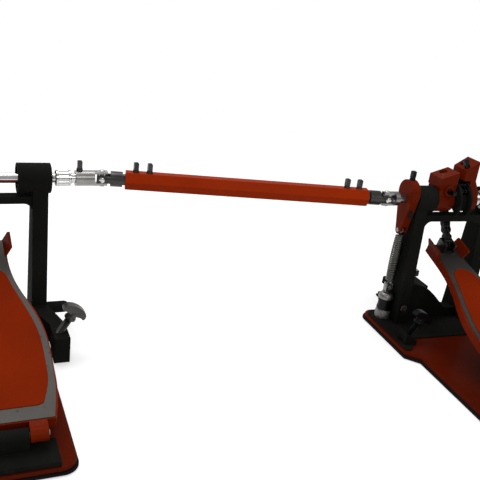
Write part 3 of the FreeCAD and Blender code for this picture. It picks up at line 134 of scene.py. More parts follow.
class Graph:
    """A node tree under construction."""

    def __init__(self, tree: bpy.types.NodeTree) -> None:
        """Keep the tree."""
        self.tree = tree

    def node(self, kind: str, sockets: dict[Any, Any] | None = None, **settings: Any) -> bpy.types.Node:
        """Add one node of any type.

        Args:
            kind: the node's type.
            sockets: values or links of its inputs, by name or index.
            settings: its properties, set first.

        Returns:
            The new node.
        """
        made = self.tree.nodes.new(kind)
        for key, value in settings.items():
            setattr(made, key, value)
        for key, value in (sockets or {}).items():
            self.feed(made.inputs[key], value)
        return made

    def first(self, kind: str) -> bpy.types.Node:
        """The node of a type that the tree came with."""
        return next(n for n in self.tree.nodes if n.type == kind)

    def feed(self, socket: Socket, value: Any) -> None:
        """Link or set one input.

        Args:
            socket: the input.
            value: a wire, a socket or a plain value.
        """
        if isinstance(value, Wire):
            value = value.socket
        if isinstance(value, Socket):
            self.tree.links.new(value, socket)
        else:
            socket.default_value = value

    def wire(self, socket: Socket) -> Wire:
        """A socket as a value for arithmetic."""
        return Wire(self, socket)

    def rays(self) -> list[Wire]:
        """1 or 0 for camera, glossy and transmitted rays."""
        path = self.node("ShaderNodeLightPath").outputs
        return [self.wire(path[f"Is {kind} Ray"]) for kind in ("Camera", "Glossy", "Transmission")]


class Shade(Graph):
    """One procedural material under construction."""

    def __init__(self, name: str) -> None:
        """Start a material with one principled shader.

        Args:
            name: name of the material.
        """
        self.material = bpy.data.materials.new(name)
        self.material.use_nodes = True
        super().__init__(self.material.node_tree)
        self.shader = self.first("BSDF_PRINCIPLED")
        self.place = self.node("ShaderNodeTexCoord").outputs["Object"]

    def noise(self, scale: float, detail: float, stretch: Way | None = None) -> Wire:
        """Noise on object coordinates.

        Args:
            scale: repeats per metre.
            detail: octaves.
            stretch: way that the noise is drawn out, if any.

        Returns:
            The noise, about 0 to 1.
        """
        place = self.place
        if stretch:
            place = self.node("ShaderNodeMapping", {"Vector": place, "Scale": stretch.value}).outputs[0]
        made = self.node("ShaderNodeTexNoise", {"Vector": place, "Scale": scale, "Detail": detail})
        return self.wire(made.outputs[0])

    def cells(self, scale: float) -> Wire:
        """Distance to the nearest cell's middle, on object coordinates."""
        made = self.node("ShaderNodeTexVoronoi", {"Vector": self.place, "Scale": scale})
        return self.wire(made.outputs["Distance"])

    def mix(self, mask: Wire, low: Colour | Socket, high: Colour) -> Socket:
        """A colour between two by a mask; the lower one may come from another node."""
        under = low if isinstance(low, Socket) else (*low, 1.0)
        return self.node("ShaderNodeMix", {0: mask, 6: under, 7: (*high, 1.0)}, data_type="RGBA").outputs[2]

    def bump(self, height: Wire, strength: float, distance: float) -> None:
        """Feed a height to the shader's normal."""
        made = self.node("ShaderNodeBump", {"Height": height, "Strength": strength, "Distance": distance})
        self.feed(self.shader.inputs["Normal"], made.outputs[0])

    def surface(self, **sockets: Any) -> None:
        """Set or link the shader's own sockets; an underscore stands for a space."""
        for key, value in sockets.items():
            self.feed(self.shader.inputs[key.replace("_", " ")], value)


@dataclass(frozen=True)
class Wear:
    """A layer over a finish: its noise, where that shows, and what it does to colour, roughness and relief."""

    noise: Noise
    step: Pair
    colour: Colour | None
    share: float
    rough: float = 0.0
    relief: float = 0.0


@dataclass(frozen=True)
class Finish:
    """A finish: two tones with a broad drift between them, layers of wear, and a fine relief."""

    name: str
    tone: Colour
    deep: Colour
    rough: float
    gloss: float = 0.0
    gloss_rough: float = 0.16
    shine: float = 0.5
    metal: float = 0.0
    sheen: float = 0.0
    drift: Noise = (11.0, 4.0)
    drift_step: Pair = (0.3, 0.4)
    drift_rough: float = 0.12
    wear: tuple[Wear, ...] = ()
    tarnish: float = 0.55
    grain: Noise = (600.0, 3.0)
    pebble: float = 0.0
    fibrous: float = 0.0
    bump: Pair = (0.1, 0.0003)

    def paint(self, shade: Shade) -> None:
        """Fill in the shader.

        Args:
            shade: the material under construction.
        """
        drift = shade.noise(*self.drift)
        height = 1.0 - shade.cells(self.pebble) if self.pebble else shade.noise(*self.grain)
        mask = (1.0 - self.fibrous) * drift + self.fibrous * height if self.fibrous else drift
        colour = shade.mix(mask.above(*self.drift_step), self.deep, self.tone)
        rough = self.rough + self.drift_rough * drift
        for layer in self.wear:
            worn = shade.noise(*layer.noise).above(*layer.step)
            over = layer.colour or tuple(self.tarnish * c for c in self.deep)
            colour = shade.mix(worn * layer.share, colour, over)
            rough = rough + layer.rough * worn if layer.rough else rough
            height = height + layer.relief * worn if layer.relief else height
        shade.surface(Base_Color=colour, Roughness=rough, Metallic=self.metal, Specular_IOR_Level=self.shine,
                      Coat_Weight=self.gloss, Coat_Roughness=self.gloss_rough, Sheen_Weight=self.sheen)
        shade.bump(height, *self.bump)

    def material(self) -> bpy.types.Material:
        """The material, made once.

        Returns:
            The material.
        """
        found = bpy.data.materials.get(self.name)
        if found is None:
            shade = Shade(self.name)
            self.paint(shade)
            found = shade.material
        return found


@dataclass(frozen=True)
class PowderCoat(Finish):
    """Orange powder coat: broad tone drift, fine orange peel, dust and hairline scuffs."""

    shine: float = 0.01
    drift_rough: float = 0.10
    wear: tuple[Wear, ...] = (Wear((70.0, 6.0, Way.ALONG_Y), (0.62, 0.1), (0.42, 0.07, 0.02), 0.18, 0.14, 0.4),
                              Wear((420.0, 3.0), (0.66, 0.1), (0.45, 0.30, 0.24), 0.08))
    grain: Noise = (950.0, 2.0)
    bump: Pair = (0.10, 0.0003)


@dataclass(frozen=True)
class TreadSheet(Finish):
    """Pebbled tread panel in the same paint, rubbed along the foot's way."""

    shine: float = 0.02
    drift: Noise = (16.0, 4.0)
    drift_step: Pair = (0.28, 0.44)
    wear: tuple[Wear, ...] = (Wear((30.0, 5.0, Way.ALONG_Y), (0.56, 0.16), (0.28, 0.035, 0.008), 0.2, -0.08),)
    pebble: float = 520.0
    bump: Pair = (0.22, 0.0005)


@dataclass(frozen=True)
class SatinCasting(Finish):
    """Satin black on a casting: fine sand grain, greyed where hands rub."""

    shine: float = 0.03
    drift: Noise = (18.0, 5.0)
    drift_step: Pair = (0.32, 0.36)
    drift_rough: float = 0.16
    wear: tuple[Wear, ...] = (Wear((95.0, 6.0), (0.63, 0.08), (0.03, 0.03, 0.028), 0.3, -0.1),)
    grain: Noise = (620.0, 3.0)
    bump: Pair = (0.16, 0.0004)


@dataclass(frozen=True)
class BrightMetal(Finish):
    """Plated or turned steel with fine lines along one way, faint smears and tarnished spots."""

    metal: float = 1.0
    drift: Noise = (45.0, 5.0)
    grain: Noise = (120.0, 4.0, Way.ALONG_Z)
    wear: tuple[Wear, ...] = (Wear((260.0, 4.0), (0.66, 0.08), None, 0.3, 0.15),)
    bump: Pair = (0.05, 0.0002)


@dataclass(frozen=True)
class MatRubber(Finish):
    """Matt rubber with a pebbled skin and pale dust."""

    shine: float = 0.06
    drift: Noise = (34.0, 6.0)
    drift_step: Pair = (0.35, 0.4)
    pebble: float = 480.0
    bump: Pair = (0.3, 0.0006)


@dataclass(frozen=True)
class WoolFelt(Finish):
    """Pressed felt: short fibres over a soft mottle."""

    sheen: float = 0.4
    drift: Noise = (160.0, 4.0)
    drift_rough: float = 0.04
    grain: Noise = (800.0, 5.0, Way.ALONG_Z)
    fibrous: float = 0.4
    bump: Pair = (0.6, 0.0005)


class Finishes:
    """The finishes of this object."""

    PAINT = PowderCoat("orange_powder_coat", (0.40, 0.033, 0.003), (0.31, 0.023, 0.002), 0.34, gloss=0.02)
    # The next two are darker copies of the orange paint: partly a deeper paint tone, partly painted shade.
    DEEP_AND_SHADED = PowderCoat("deep_powder_coat", (0.15, 0.0125, 0.001), (0.10, 0.008, 0.001), 0.3, gloss=0.05)
    BASE_DEEP_AND_SHADED = PowderCoat("base_powder_coat", (0.11, 0.009, 0.001), (0.075, 0.006, 0.001), 0.34, gloss=0.03)
    # The orange paint darkened for the footboards' skirts and ears: painted shade.
    SKIRT_SHADE = PowderCoat("skirt_powder_coat", (0.21, 0.0172, 0.0015), (0.15, 0.012, 0.001), 0.34, gloss=0.02)
    PANEL = TreadSheet("orange_tread", (0.235, 0.0185, 0.001), (0.185, 0.0135, 0.001), 0.6)
    BORDER = BrightMetal("grey_border", (0.085, 0.079, 0.073), (0.062, 0.058, 0.053), 0.5,
                         grain=(90.0, 4.0, Way.ALONG_Y))
    CASTING = SatinCasting("black_casting_coat", (0.013, 0.013, 0.011), (0.007, 0.007, 0.006), 0.66)
    CHROME = BrightMetal("bright_chrome", (0.62, 0.62, 0.61), (0.48, 0.48, 0.48), 0.08,
                         grain=(80.0, 4.0, Way.ALONG_X))
    STEEL = BrightMetal("satin_steel", (0.34, 0.333, 0.322), (0.24, 0.235, 0.226), 0.26,
                        grain=(110.0, 4.0, Way.ALONG_X))
    NICKEL = BrightMetal("grey_nickel", (0.27, 0.268, 0.262), (0.18, 0.178, 0.174), 0.24)
    DARK = BrightMetal("dark_nickel", (0.075, 0.073, 0.07), (0.038, 0.037, 0.035), 0.3)
    NUTS = BrightMetal("satin_nuts", (0.27, 0.262, 0.25), (0.19, 0.185, 0.176), 0.36)
    SPRING = BrightMetal("spring_steel", (0.17, 0.168, 0.155), (0.09, 0.089, 0.082), 0.26,
                         grain=(150.0, 4.0, Way.ALONG_X))
    OXIDE = BrightMetal("black_oxide", (0.022, 0.022, 0.023), (0.012, 0.012, 0.013), 0.34)
    CHAIN = BrightMetal("chain_steel", (0.022, 0.022, 0.022), (0.010, 0.010, 0.010), 0.3,
                        grain=(200.0, 4.0, Way.ALONG_X))
    RUBBER = MatRubber("mat_rubber", (0.010, 0.010, 0.010), (0.005, 0.005, 0.005), 0.72)
    FELT = WoolFelt("damper_felt", (0.62, 0.60, 0.55), (0.44, 0.42, 0.38), 0.92)

    OF_SLOT = {Slot.PAINT: PAINT, Slot.PANEL: PANEL, Slot.CASTING: CASTING, Slot.CHROME: CHROME,
               Slot.NICKEL: NICKEL, Slot.RUBBER: RUBBER, Slot.FELT: FELT}


def shift(x: float, y: float, z: float) -> Matrix:
    """A move in millimetres."""
    return Matrix.Translation(Vector((x, y, z)) * MM)


def turned(degrees: float, axis: str) -> Matrix:
    """A turn about an axis."""
    return Matrix.Rotation(math.radians(degrees), 4, axis)


def both(*parts: str) -> tuple[str, ...]:
    """The nodes that parts have on each pedal."""
    return tuple(f"{side}_{part}" for part in parts for side in ("main", "slave"))


def mirrored(half: Profile) -> Outline:
    """An outline from its right half; a point on the middle line comes once."""
    return [*half, *((-x, y) for x, y in reversed(half) if x)]


def stepped(radius: float, end: float, steps: Profile, way: int = 1) -> Outline:
    """Corners of a profile, counted from a radius and upwards or downwards from an end."""
    return [(radius + wide, end + way * deep) for wide, deep in steps]


def spool(radius: float, half: float, steps: Profile = ((0.0, 0.0),)) -> Outline:
    """Profile of a turned form about its middle; steps hold a change of radius and a distance from the end."""
    lower = [(0.0, -half), *stepped(radius, -half, steps)]
    return [*lower, *((r, -h) for r, h in reversed(lower) if h)]


def thread(crest: float, root: float, low: float, high: float, pitch: float, flank: Pair) -> Outline:
    """Profile of a thread.

    Args:
        crest: outer radius.
        root: inner radius.
        low: where the thread starts.
        high: where the last turn starts at the latest.
        pitch: height of a turn.
        flank: height of crest and root above the start of a turn.

    Returns:
        Radius and height pairs.
    """
    made = []
    while low < high:
        made += [(crest, low + flank[0]), (root, low + flank[1])]
        low += pitch
    return made


def put(name: str, data: bpy.types.ID) -> Piece:
    """Put a mesh, a lamp or a camera in the scene, in the object's frame.

    Args:
        name: name of the piece.
        data: what it shows.

    Returns:
        The new piece.
    """
    made = bpy.data.objects.new(name, data)
    bpy.context.scene.collection.objects.link(made)
    return made


def ease(piece: Piece, width: float, angle: float) -> Piece:
    """Ease the edges of a piece that turn by more than an angle.

    Args:
        piece: the built piece.
        width: width of the eased edges in millimetres.
        angle: least turn of an eased edge in degrees.

    Returns:
        The same piece.
    """
    bevel = piece.modifiers.new("edge", "BEVEL")
    bevel.width, bevel.segments, bevel.limit_method = width * MM, EDGE_STEPS, "ANGLE"
    bevel.angle_limit, bevel.harden_normals = math.radians(angle), True
    return piece


class Form:
    """A loose form that becomes the mesh of a piece; sizes in millimetres, matrices in metres."""

    WELD = 1e-7

    def __init__(self) -> None:
        """Start with nothing."""
        self.bm = bmesh.new()

    def ring(self, points: Iterable[Point], turn: Matrix) -> list[bmesh.types.BMVert]:
        """Set corners, placed by a matrix."""
        return [self.bm.verts.new(turn @ (Vector(point) * MM)) for point in points]

    def walls(self, rings: Sequence[list[bmesh.types.BMVert]]) -> None:
        """Join neighbouring rings with faces; a ring may be a single point.

        Args:
            rings: corners, ring by ring.
        """
        for low, high in zip(rings, rings[1:]):
            for i in range(max(len(low), len(high))):
                corners = [row[k % len(row)] for row, k in ((low, i), (low, i + 1), (high, i + 1), (high, i))]
                self.bm.faces.new(list(dict.fromkeys(corners)))

    def loft(self, rings: Sequence[list[bmesh.types.BMVert]]) -> None:
        """Join rings and close both ends.

        Args:
            rings: corners, ring by ring.
        """
        self.walls(rings)
        self.bm.faces.new(rings[0][::-1])
        self.bm.faces.new(rings[-1])

    def prism(self, outline: Profile, low: float, high: float, turn: Matrix) -> None:
        """Raise an outline from one height to another, in the frame that a matrix places."""
        self.loft([self.ring([(x, y, z) for x, y in outline], turn) for z in (low, high)])

    def lathe(self, profile: Profile, turn: Matrix, sides: int, ripple: float = 0.0) -> None:
        """Turn a profile round Z.

        Args:
            profile: radius and height pairs, from one end to the other.
            turn: from the profile's frame to the object's.
            sides: faces round the axis.
            ripple: how far every second corner is drawn in, for a knurl.
        """
        rings = []
        for radius, height in profile:
            corners = []
            for i in range(sides if radius else 1):
                reach, angle = radius - ripple * (i % 2), 2 * math.pi * i / sides
                corners.append((reach * math.cos(angle), reach * math.sin(angle), height))
            rings.append(self.ring(corners, turn))
        self.walls(rings)

    def box(self, sides: Point, turn: Matrix, edge: float = 0.5) -> None:
        """A box with eased edges, centred in the frame that a matrix places.

        Args:
            sides: lengths of the box.
            turn: from its frame to the object's.
            edge: width of the eased edges.
        """
        part = Form()
        bmesh.ops.create_cube(part.bm, size=1.0)
        for vert in part.bm.verts:
            vert.co = Vector(c * s for c, s in zip(vert.co, sides)) * MM
        self.take(part, turn, part.bm.edges, edge, EDGE_STEPS)

    def take(self, part: "Form", turn: Matrix, rims: Iterable[bmesh.types.BMEdge], edge: float, steps: int) -> None:
        """Take in a part with rounded edges.

        Args:
            part: the loose part, used up here.
            turn: from its frame to the object's.
            rims: its edges that are rounded.
            edge: width of the rounding.
            steps: faces across the rounding.
        """
        bmesh.ops.bevel(part.bm, geom=list(rims), offset=edge * MM, segments=steps, profile=0.5, affect="EDGES")
        part.bm.transform(turn)
        loose = bpy.data.meshes.new("loose")
        part.bm.to_mesh(loose)
        part.bm.free()
        self.bm.from_mesh(loose)
        bpy.data.meshes.remove(loose)

    def close(self, name: str, sharp: float) -> Mesh:
        """A smooth-shaded mesh of the form as it is, with sharp edges over an angle.

        Args:
            name: name of the mesh.
            sharp: least angle of a sharp edge in degrees.

        Returns:
            The mesh; the form is used up.
        """
        made = bpy.data.meshes.new(name)
        self.bm.to_mesh(made)
        self.bm.free()
        made.shade_smooth()
        made.set_sharp_from_angle(angle=math.radians(sharp))
        return made

    def mesh(self, name: str, sharp: float = 35.0) -> Mesh:
        """The welded form's mesh, its faces outwards.

        Args:
            name: name of the mesh.
            sharp: least angle of a sharp edge in degrees.

        Returns:
            The mesh; the form is used up.
        """
        bmesh.ops.remove_doubles(self.bm, verts=self.bm.verts, dist=self.WELD)
        bmesh.ops.recalc_face_normals(self.bm, faces=self.bm.faces)
        return self.close(name, sharp)


@dataclass(frozen=True)
class Stand:
    """Where one pedal stands, with the lines that its pieces follow, in millimetres."""

    name: str
    origin: Point
    yaw: float
    board_middle: float
    springs: tuple[tuple[str, float], ...]
    toe: float
    links: int

    def basis(self, x: float = 0.0, y: float = 0.0, z: float = 0.0) -> Matrix:
        """From a frame at a point of the pedal, square to it, to the object's; both in metres."""
        return shift(*self.origin) @ Matrix.Rotation(self.yaw, 4, "Z") @ shift(x, y, z)

    def at(self, x: float, y: float, z: float) -> Vector:
        """A point of the pedal in metres."""
        return self.basis(x, y, z).to_translation()


# Turns, sizes and lines that pieces share, in millimetres
ON_X, UPRIGHT = turned(90.0, "Y"), turned(90.0, "X")
KNURL = 0.45
HUB_SLOPE = 11.0 / 17.4
AXLE_Z = 168.0
TOE_Y = -10.0
SPAN, AHEAD = 330.0, 60.0
CROSS_RIGHT = Vector((-95.0, 0.0, AXLE_Z))
CROSS_LEFT = CROSS_RIGHT + Vector((-math.sqrt(SPAN ** 2 - AHEAD ** 2), AHEAD, 0.0))
SHAFT = (CROSS_RIGHT - CROSS_LEFT).normalized()
SLAVE_YAW = math.radians(3.0)
SLAVE_REACH = 111.0
SLAVE_FLOOR = CROSS_LEFT - Vector((math.cos(SLAVE_YAW), math.sin(SLAVE_YAW), 0.0)) * SLAVE_REACH
MAIN = Stand("main", (0.0, 0.0, 0.0), 0.0, 1.0, (("right", 64.5), ("left", -64.5)), 112.0, 7)
SLAVE = Stand("slave", (SLAVE_FLOOR.x, SLAVE_FLOOR.y, 0.0), SLAVE_YAW, -8.0, (("slave", -62.5),), 101.8, 8)
STANDS = (MAIN, SLAVE)
LEVERS = {label: (stand, x) for stand in STANDS for label, x in stand.springs}
DRIVES = {"left": "left_drive", "right": "main_drive", "slave": "slave_drive"}


class Tree(Graph):
    """A geometry node tree that runs on a loose mesh and leaves a plain piece."""

    def __init__(self, name: str, **kinds: str) -> None:
        """Start the tree.

        Args:
            name: name of the tree.
            kinds: its inputs, a finish among them, by name and kind.
        """
        super().__init__(bpy.data.node_groups.new(name, "GeometryNodeTree"))
        face, kinds = self.tree.interface, {"shape": "Geometry", **kinds}
        self.inputs = {key: face.new_socket(name=key, in_out="INPUT", socket_type="NodeSocket" + kind).identifier
                       for key, kind in kinds.items()}
        face.new_socket(name="shape", in_out="OUTPUT", socket_type="NodeSocketGeometry")
        self.start = self.node("NodeGroupInput").outputs

    def close(self, shape: Socket) -> None:
        """Make the result plain, give it the finish and end the tree.

        Args:
            shape: the geometry that the tree makes.
        """
        plain = self.node("GeometryNodeRealizeInstances", {0: shape})
        dressed = self.node("GeometryNodeSetMaterial",
                            {"Geometry": plain.outputs[0], "Material": self.start["finish"]})
        self.node("NodeGroupOutput", {0: dressed.outputs[0]})

    def take(self, name: str, mesh: Mesh, **values: Any) -> Piece:
        """Run the tree on a loose mesh and keep only the result.

        Args:
            name: name of the piece.
            mesh: points or line that the tree starts from.
            values: the tree's inputs.

        Returns:
            The finished piece.
        """
        holder = put(name + "_holder", mesh)
        modifier = holder.modifiers.new("tree", "NODES")
        modifier.node_group = self.tree
        for key, value in values.items():
            modifier[self.inputs[key]] = value
        holder.update_tag()
        bpy.context.view_layer.update()
        graph = bpy.context.evaluated_depsgraph_get()
        made = bpy.data.meshes.new_from_object(holder.evaluated_get(graph), depsgraph=graph)
        turns = made.attributes.get("turn")
        if turns:
            made.attributes.remove(turns)
        bpy.data.objects.remove(holder)
        return put(name, made)


class Repeater(Tree):
    """Sets two alternating source pieces on a row of points."""

    def __init__(self) -> None:
        """Build the tree once."""
        super().__init__("set_on_points", even="Object", odd="Object", finish="Material")
        turn = self.node("GeometryNodeInputNamedAttribute", {"Name": "turn"}, data_type="FLOAT_VECTOR")
        rotation = self.node("FunctionNodeEulerToRotation", {0: turn.outputs[0]})
        index = self.wire(self.node("GeometryNodeInputIndex").outputs[0])
        odd = index.modulo(2.0)
        joined = self.node("GeometryNodeJoinGeometry")
        for name, mask in (("even", 1.0 - odd), ("odd", odd)):
            source = self.node("GeometryNodeObjectInfo", {0: self.start[name]}, transform_space="ORIGINAL")
            spread = self.node("GeometryNodeInstanceOnPoints", {
                "Points": self.start["shape"], "Selection": mask, "Instance": source.outputs["Geometry"],
                "Rotation": rotation.outputs[0]})
            self.feed(joined.inputs[0], spread.outputs[0])
        self.close(joined.outputs[0])

    def spread(self, name: str, spots: Sequence[tuple[Vector, Euler]], even: Mesh, odd: Mesh,
               finish: Finish) -> Piece:
        """Set the source pieces on points and make the result a plain mesh.

        Args:
            name: name of the piece.
            spots: place in metres and turn of each copy.
            even: mesh for the first, third and later odd-counted copies.
            odd: mesh for the others.
            finish: finish of all copies.

        Returns:
            The finished piece.
        """
        cloud = bpy.data.meshes.new(name + "_points")
        cloud.from_pydata([tuple(at) for at, _ in spots], [], [])
        turns = cloud.attributes.new("turn", "FLOAT_VECTOR", "POINT")
        for row, (_, turn) in zip(turns.data, spots):
            row.vector = tuple(turn)
        sources = [put(f"{name}_source_{i}", mesh) for i, mesh in enumerate((even, odd))]
        piece = self.take(name, cloud, even=sources[0], odd=sources[1], finish=finish.material())
        for source in sources:
            bpy.data.objects.remove(source)
        return piece


class Tube(Tree):
    """Draws a round wire along a line of points."""

    SIDES = 10

    def __init__(self) -> None:
        """Build the tree once."""
        super().__init__("round_wire", radius="Float", finish="Material")
        path = self.node("GeometryNodeMeshToCurve", {0: self.start["shape"]})
        ring = self.node("GeometryNodeCurvePrimitiveCircle",
                         {"Resolution": self.SIDES, "Radius": self.start["radius"]})
        wall = self.node("GeometryNodeCurveToMesh", {
            "Curve": path.outputs[0], "Profile Curve": ring.outputs[0], "Fill Caps": True})
        self.close(self.node("GeometryNodeSetShadeSmooth", {0: wall.outputs[0]}).outputs[0])

    def draw(self, name: str, points: Sequence[Vector], radius: float, finish: Finish) -> Piece:
        """Draw the wire and make it a plain mesh.

        Args:
            name: name of the piece.
            points: line of points in metres.
            radius: wire radius in millimetres.
            finish: its finish.

        Returns:
            The finished piece.
        """
        line = bpy.data.meshes.new(name + "_line")
        line.from_pydata([tuple(p) for p in points], [(i, i + 1) for i in range(len(points) - 1)], [])
        return self.take(name, line, radius=radius * MM, finish=finish.material())


@dataclass
class Studio:
    """Camera, pale floor and soft light."""

    eye: Point = (-551.92, -666.44, 399.93)
    yaw: float = 0.39586
    pitch: float = 0.37259
    roll: float = 0.13515
    focal: float = 695.12
    frame_px: float = 480.0
    sensor: float = 36.0
    clip: Pair = (0.01, 50.0)
    middle: Point = (-0.25, 0.0, 0.1)
    floor_half: float = 6.0
    floor_drop: float = 0.0005
    floor_noise: Noise = (3.0, 2.0)
    floor_tones: Pair = (0.78, 0.82)
    floor_rough: float = 0.9
    lift: float = 0.45
    white_step: Pair = (0.55, 0.5)
    seen_step: Pair = (0.5, 0.1)
    behind: Pair = (0.6, 0.3)
    level: float = 0.16
    overhead: float = 0.50
    lamps: tuple[tuple[str, Point, float, float], ...] = (
        ("key", (-0.5, 0.35, 1.3), 0.8, 7.0), ("front", (-0.2, -1.2, 0.9), 0.5, 2.5),
        ("side", (0.9, -0.5, 0.9), 0.5, 1.2))

    def camera(self) -> None:
        """Set the camera at the photograph's angle."""
        data = bpy.data.cameras.new("camera")
        data.sensor_width, data.lens = self.sensor, self.focal * self.sensor / self.frame_px
        data.clip_start, data.clip_end = self.clip
        made = put("camera", data)
        made.matrix_world = (shift(*self.eye) @ Matrix.Rotation(-self.yaw, 4, "Z")
                             @ Matrix.Rotation(math.pi / 2 - self.pitch, 4, "X")
                             @ Matrix.Rotation(self.roll, 4, "Z"))
        bpy.context.scene.camera = made

    def floor(self) -> None:
        """Lay the floor, white where the camera sees it unshaded."""
        shade = Shade("studio_floor")
        camera, glossy, clear = shade.rays()
        seen = (camera + glossy + clear).above(*self.seen_step)
        low, high = ((tone,) * 3 for tone in self.floor_tones)
        shade.surface(Base_Color=shade.mix(shade.noise(*self.floor_noise), low, high), Roughness=self.floor_rough)
        reach = shade.node("ShaderNodeVectorMath", {0: shade.place}, operation="LENGTH").outputs["Value"]
        far = shade.wire(reach).above(*self.white_step)
        lift = shade.node("ShaderNodeEmission", {"Strength": seen * self.lift})
        near = shade.node("ShaderNodeAddShader", {0: shade.shader.outputs[0], 1: lift.outputs[0]})
        white = shade.node("ShaderNodeEmission", {"Strength": 1.0})
        mixed = shade.node("ShaderNodeMixShader", {0: far * seen, 1: near.outputs[0], 2: white.outputs[0]})
        shade.feed(shade.first("OUTPUT_MATERIAL").inputs["Surface"], mixed.outputs[0])
        form = Form()
        bmesh.ops.create_grid(form.bm, x_segments=1, y_segments=1, size=self.floor_half)
        made = put("studio_floor", form.mesh("studio_floor"))
        made.data.materials.append(shade.material)
        made.location = (self.middle[0], self.middle[1], -self.floor_drop)

    def world(self) -> None:
        """A surround that lights the object softly: white behind it, grey elsewhere, brighter overhead."""
        world = bpy.data.worlds.new("surround")
        bpy.context.scene.world = world
        world.use_nodes = True
        graph = Graph(world.node_tree)
        camera, glossy, clear = graph.rays()
        sky = graph.node("ShaderNodeTexCoord").outputs["Generated"]
        split = graph.node("ShaderNodeSeparateXYZ", {0: sky}).outputs
        behind, up = graph.wire(split["Y"]), graph.wire(split["Z"])
        seen = (camera + clear + glossy * behind.above(*self.behind)).above(0.0, 1.0)
        dim = self.level + self.overhead * up.above(0.0, 1.0)
        back = graph.first("BACKGROUND")
        graph.feed(back.inputs["Color"], (1.0, 1.0, 1.0, 1.0))
        graph.feed(back.inputs["Strength"], dim + (1.0 - dim) * seen)

    def lamp(self, name: str, at: Point, size: float, power: float) -> None:
        """Hang one soft lamp that faces the middle of the object.

        Args:
            name: name of the lamp.
            at: its place in metres.
            size: its width in metres.
            power: its power in watts.
        """
        data = bpy.data.lights.new(name, "AREA")
        data.shape, data.size, data.energy = "DISK", size, power
        made = put(name, data)
        made.location = at
        made.rotation_euler = (Vector(self.middle) - Vector(at)).to_track_quat("-Z", "Y").to_euler()

    def build(self) -> None:
        """Set up the whole studio."""
        bpy.context.scene.view_settings.view_transform = "Standard"
        self.camera()
        self.floor()
        self.world()
        for lamp in self.lamps:
            self.lamp(*lamp)


@dataclass
class SubAssembly:
    """Pieces that are built and dressed together."""

    def build(self) -> None:
        """Build and dress every piece."""
        raise NotImplementedError

    def dress(self, piece: Piece, finish: Finish, body: str, slot: Slot, *nodes: str) -> None:
        """Give a built piece its finish, attach it to the body that it rides on, and hide the solids that it stands
        for.

        Args:
            piece: the built piece.
            finish: its finish.
            body: body that it rides on.
            slot: material slot of the record; not used.
            nodes: solids that it stands for.
        """
        piece.data.materials.clear()
        piece.data.materials.append(finish.material())
        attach(piece, body)
        if nodes:
            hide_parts(*nodes)
        LOG.info("%s rides on %s", piece.name, body)


@dataclass
class Castings(SubAssembly):
    """Machined and cast pieces: the solids with eased edges."""

    edges: dict[float, tuple[str, ...]] = field(default_factory=lambda: {
        1.3: both("left_post", "right_post"),
        1.0: (*both("bridge", "footboard"), "left_beater_hub", "main_beater_hub", "left_lever", "right_lever",
              "slave_lever", "main_hoop_jaw"),
        0.7: (*both("base_plate", "heel_plate", "cam", "rubber_mat"), "main_spur_block", "drive_tube",
              "main_hoop_screw"),
        0.4: (*both("axle", "toe_clamp", "bearings", "hinge_pin"), "left_sleeve", "slave_yoke", "left_shaft_bar",
              "right_shaft_bar", "left_cross", "right_cross", "main_frame_screws"),
    })
    own: dict[Finish, tuple[str, ...]] = field(default_factory=lambda: {
        Finishes.STEEL: ("left_sleeve", "slave_yoke", "left_cross", "right_cross"),
        Finishes.DARK: ("left_shaft_bar", "right_shaft_bar", *both("toe_clamp")),
        # Levers, hubs and base plates take darker copies of the orange paint: partly a deeper paint tone, partly
        # painted shade.
        Finishes.DEEP_AND_SHADED: ("left_lever", "right_lever", "slave_lever", "left_beater_hub", "main_beater_hub"),
        Finishes.BASE_DEEP_AND_SHADED: both("base_plate"),
        # The footboards take the orange paint darkened as painted shade.
        Finishes.SKIRT_SHADE: both("footboard"),
    })
    sharp: float = 30.0
    weld: float = 2e-6
    flat: float = 0.5

    def eased(self, node: str, width: float) -> Piece:
        """Copy a node's solid and ease its edges.

        Args:
            node: name of the node.
            width: width of the eased edges in millimetres.

        Returns:
            The new piece.
        """
        form, name = Form(), node + "_eased"
        form.bm.from_mesh(frame["nodes"][node].data)
        bmesh.ops.remove_doubles(form.bm, verts=form.bm.verts, dist=self.weld)
        bmesh.ops.dissolve_limit(form.bm, angle_limit=math.radians(self.flat), verts=form.bm.verts,
                                 edges=form.bm.edges)
        return ease(put(name, form.close(name, self.sharp)), width, self.sharp)

    def build(self) -> None:
        """Ease every listed piece."""
        for width, nodes in self.edges.items():
            for node in nodes:
                slot = Slot(SLOT_OF[node])
                finish = next((f for f, listed in self.own.items() if node in listed), Finishes.OF_SLOT[slot])
                self.dress(self.eased(node, width), finish, BODY_OF[node], slot, node)


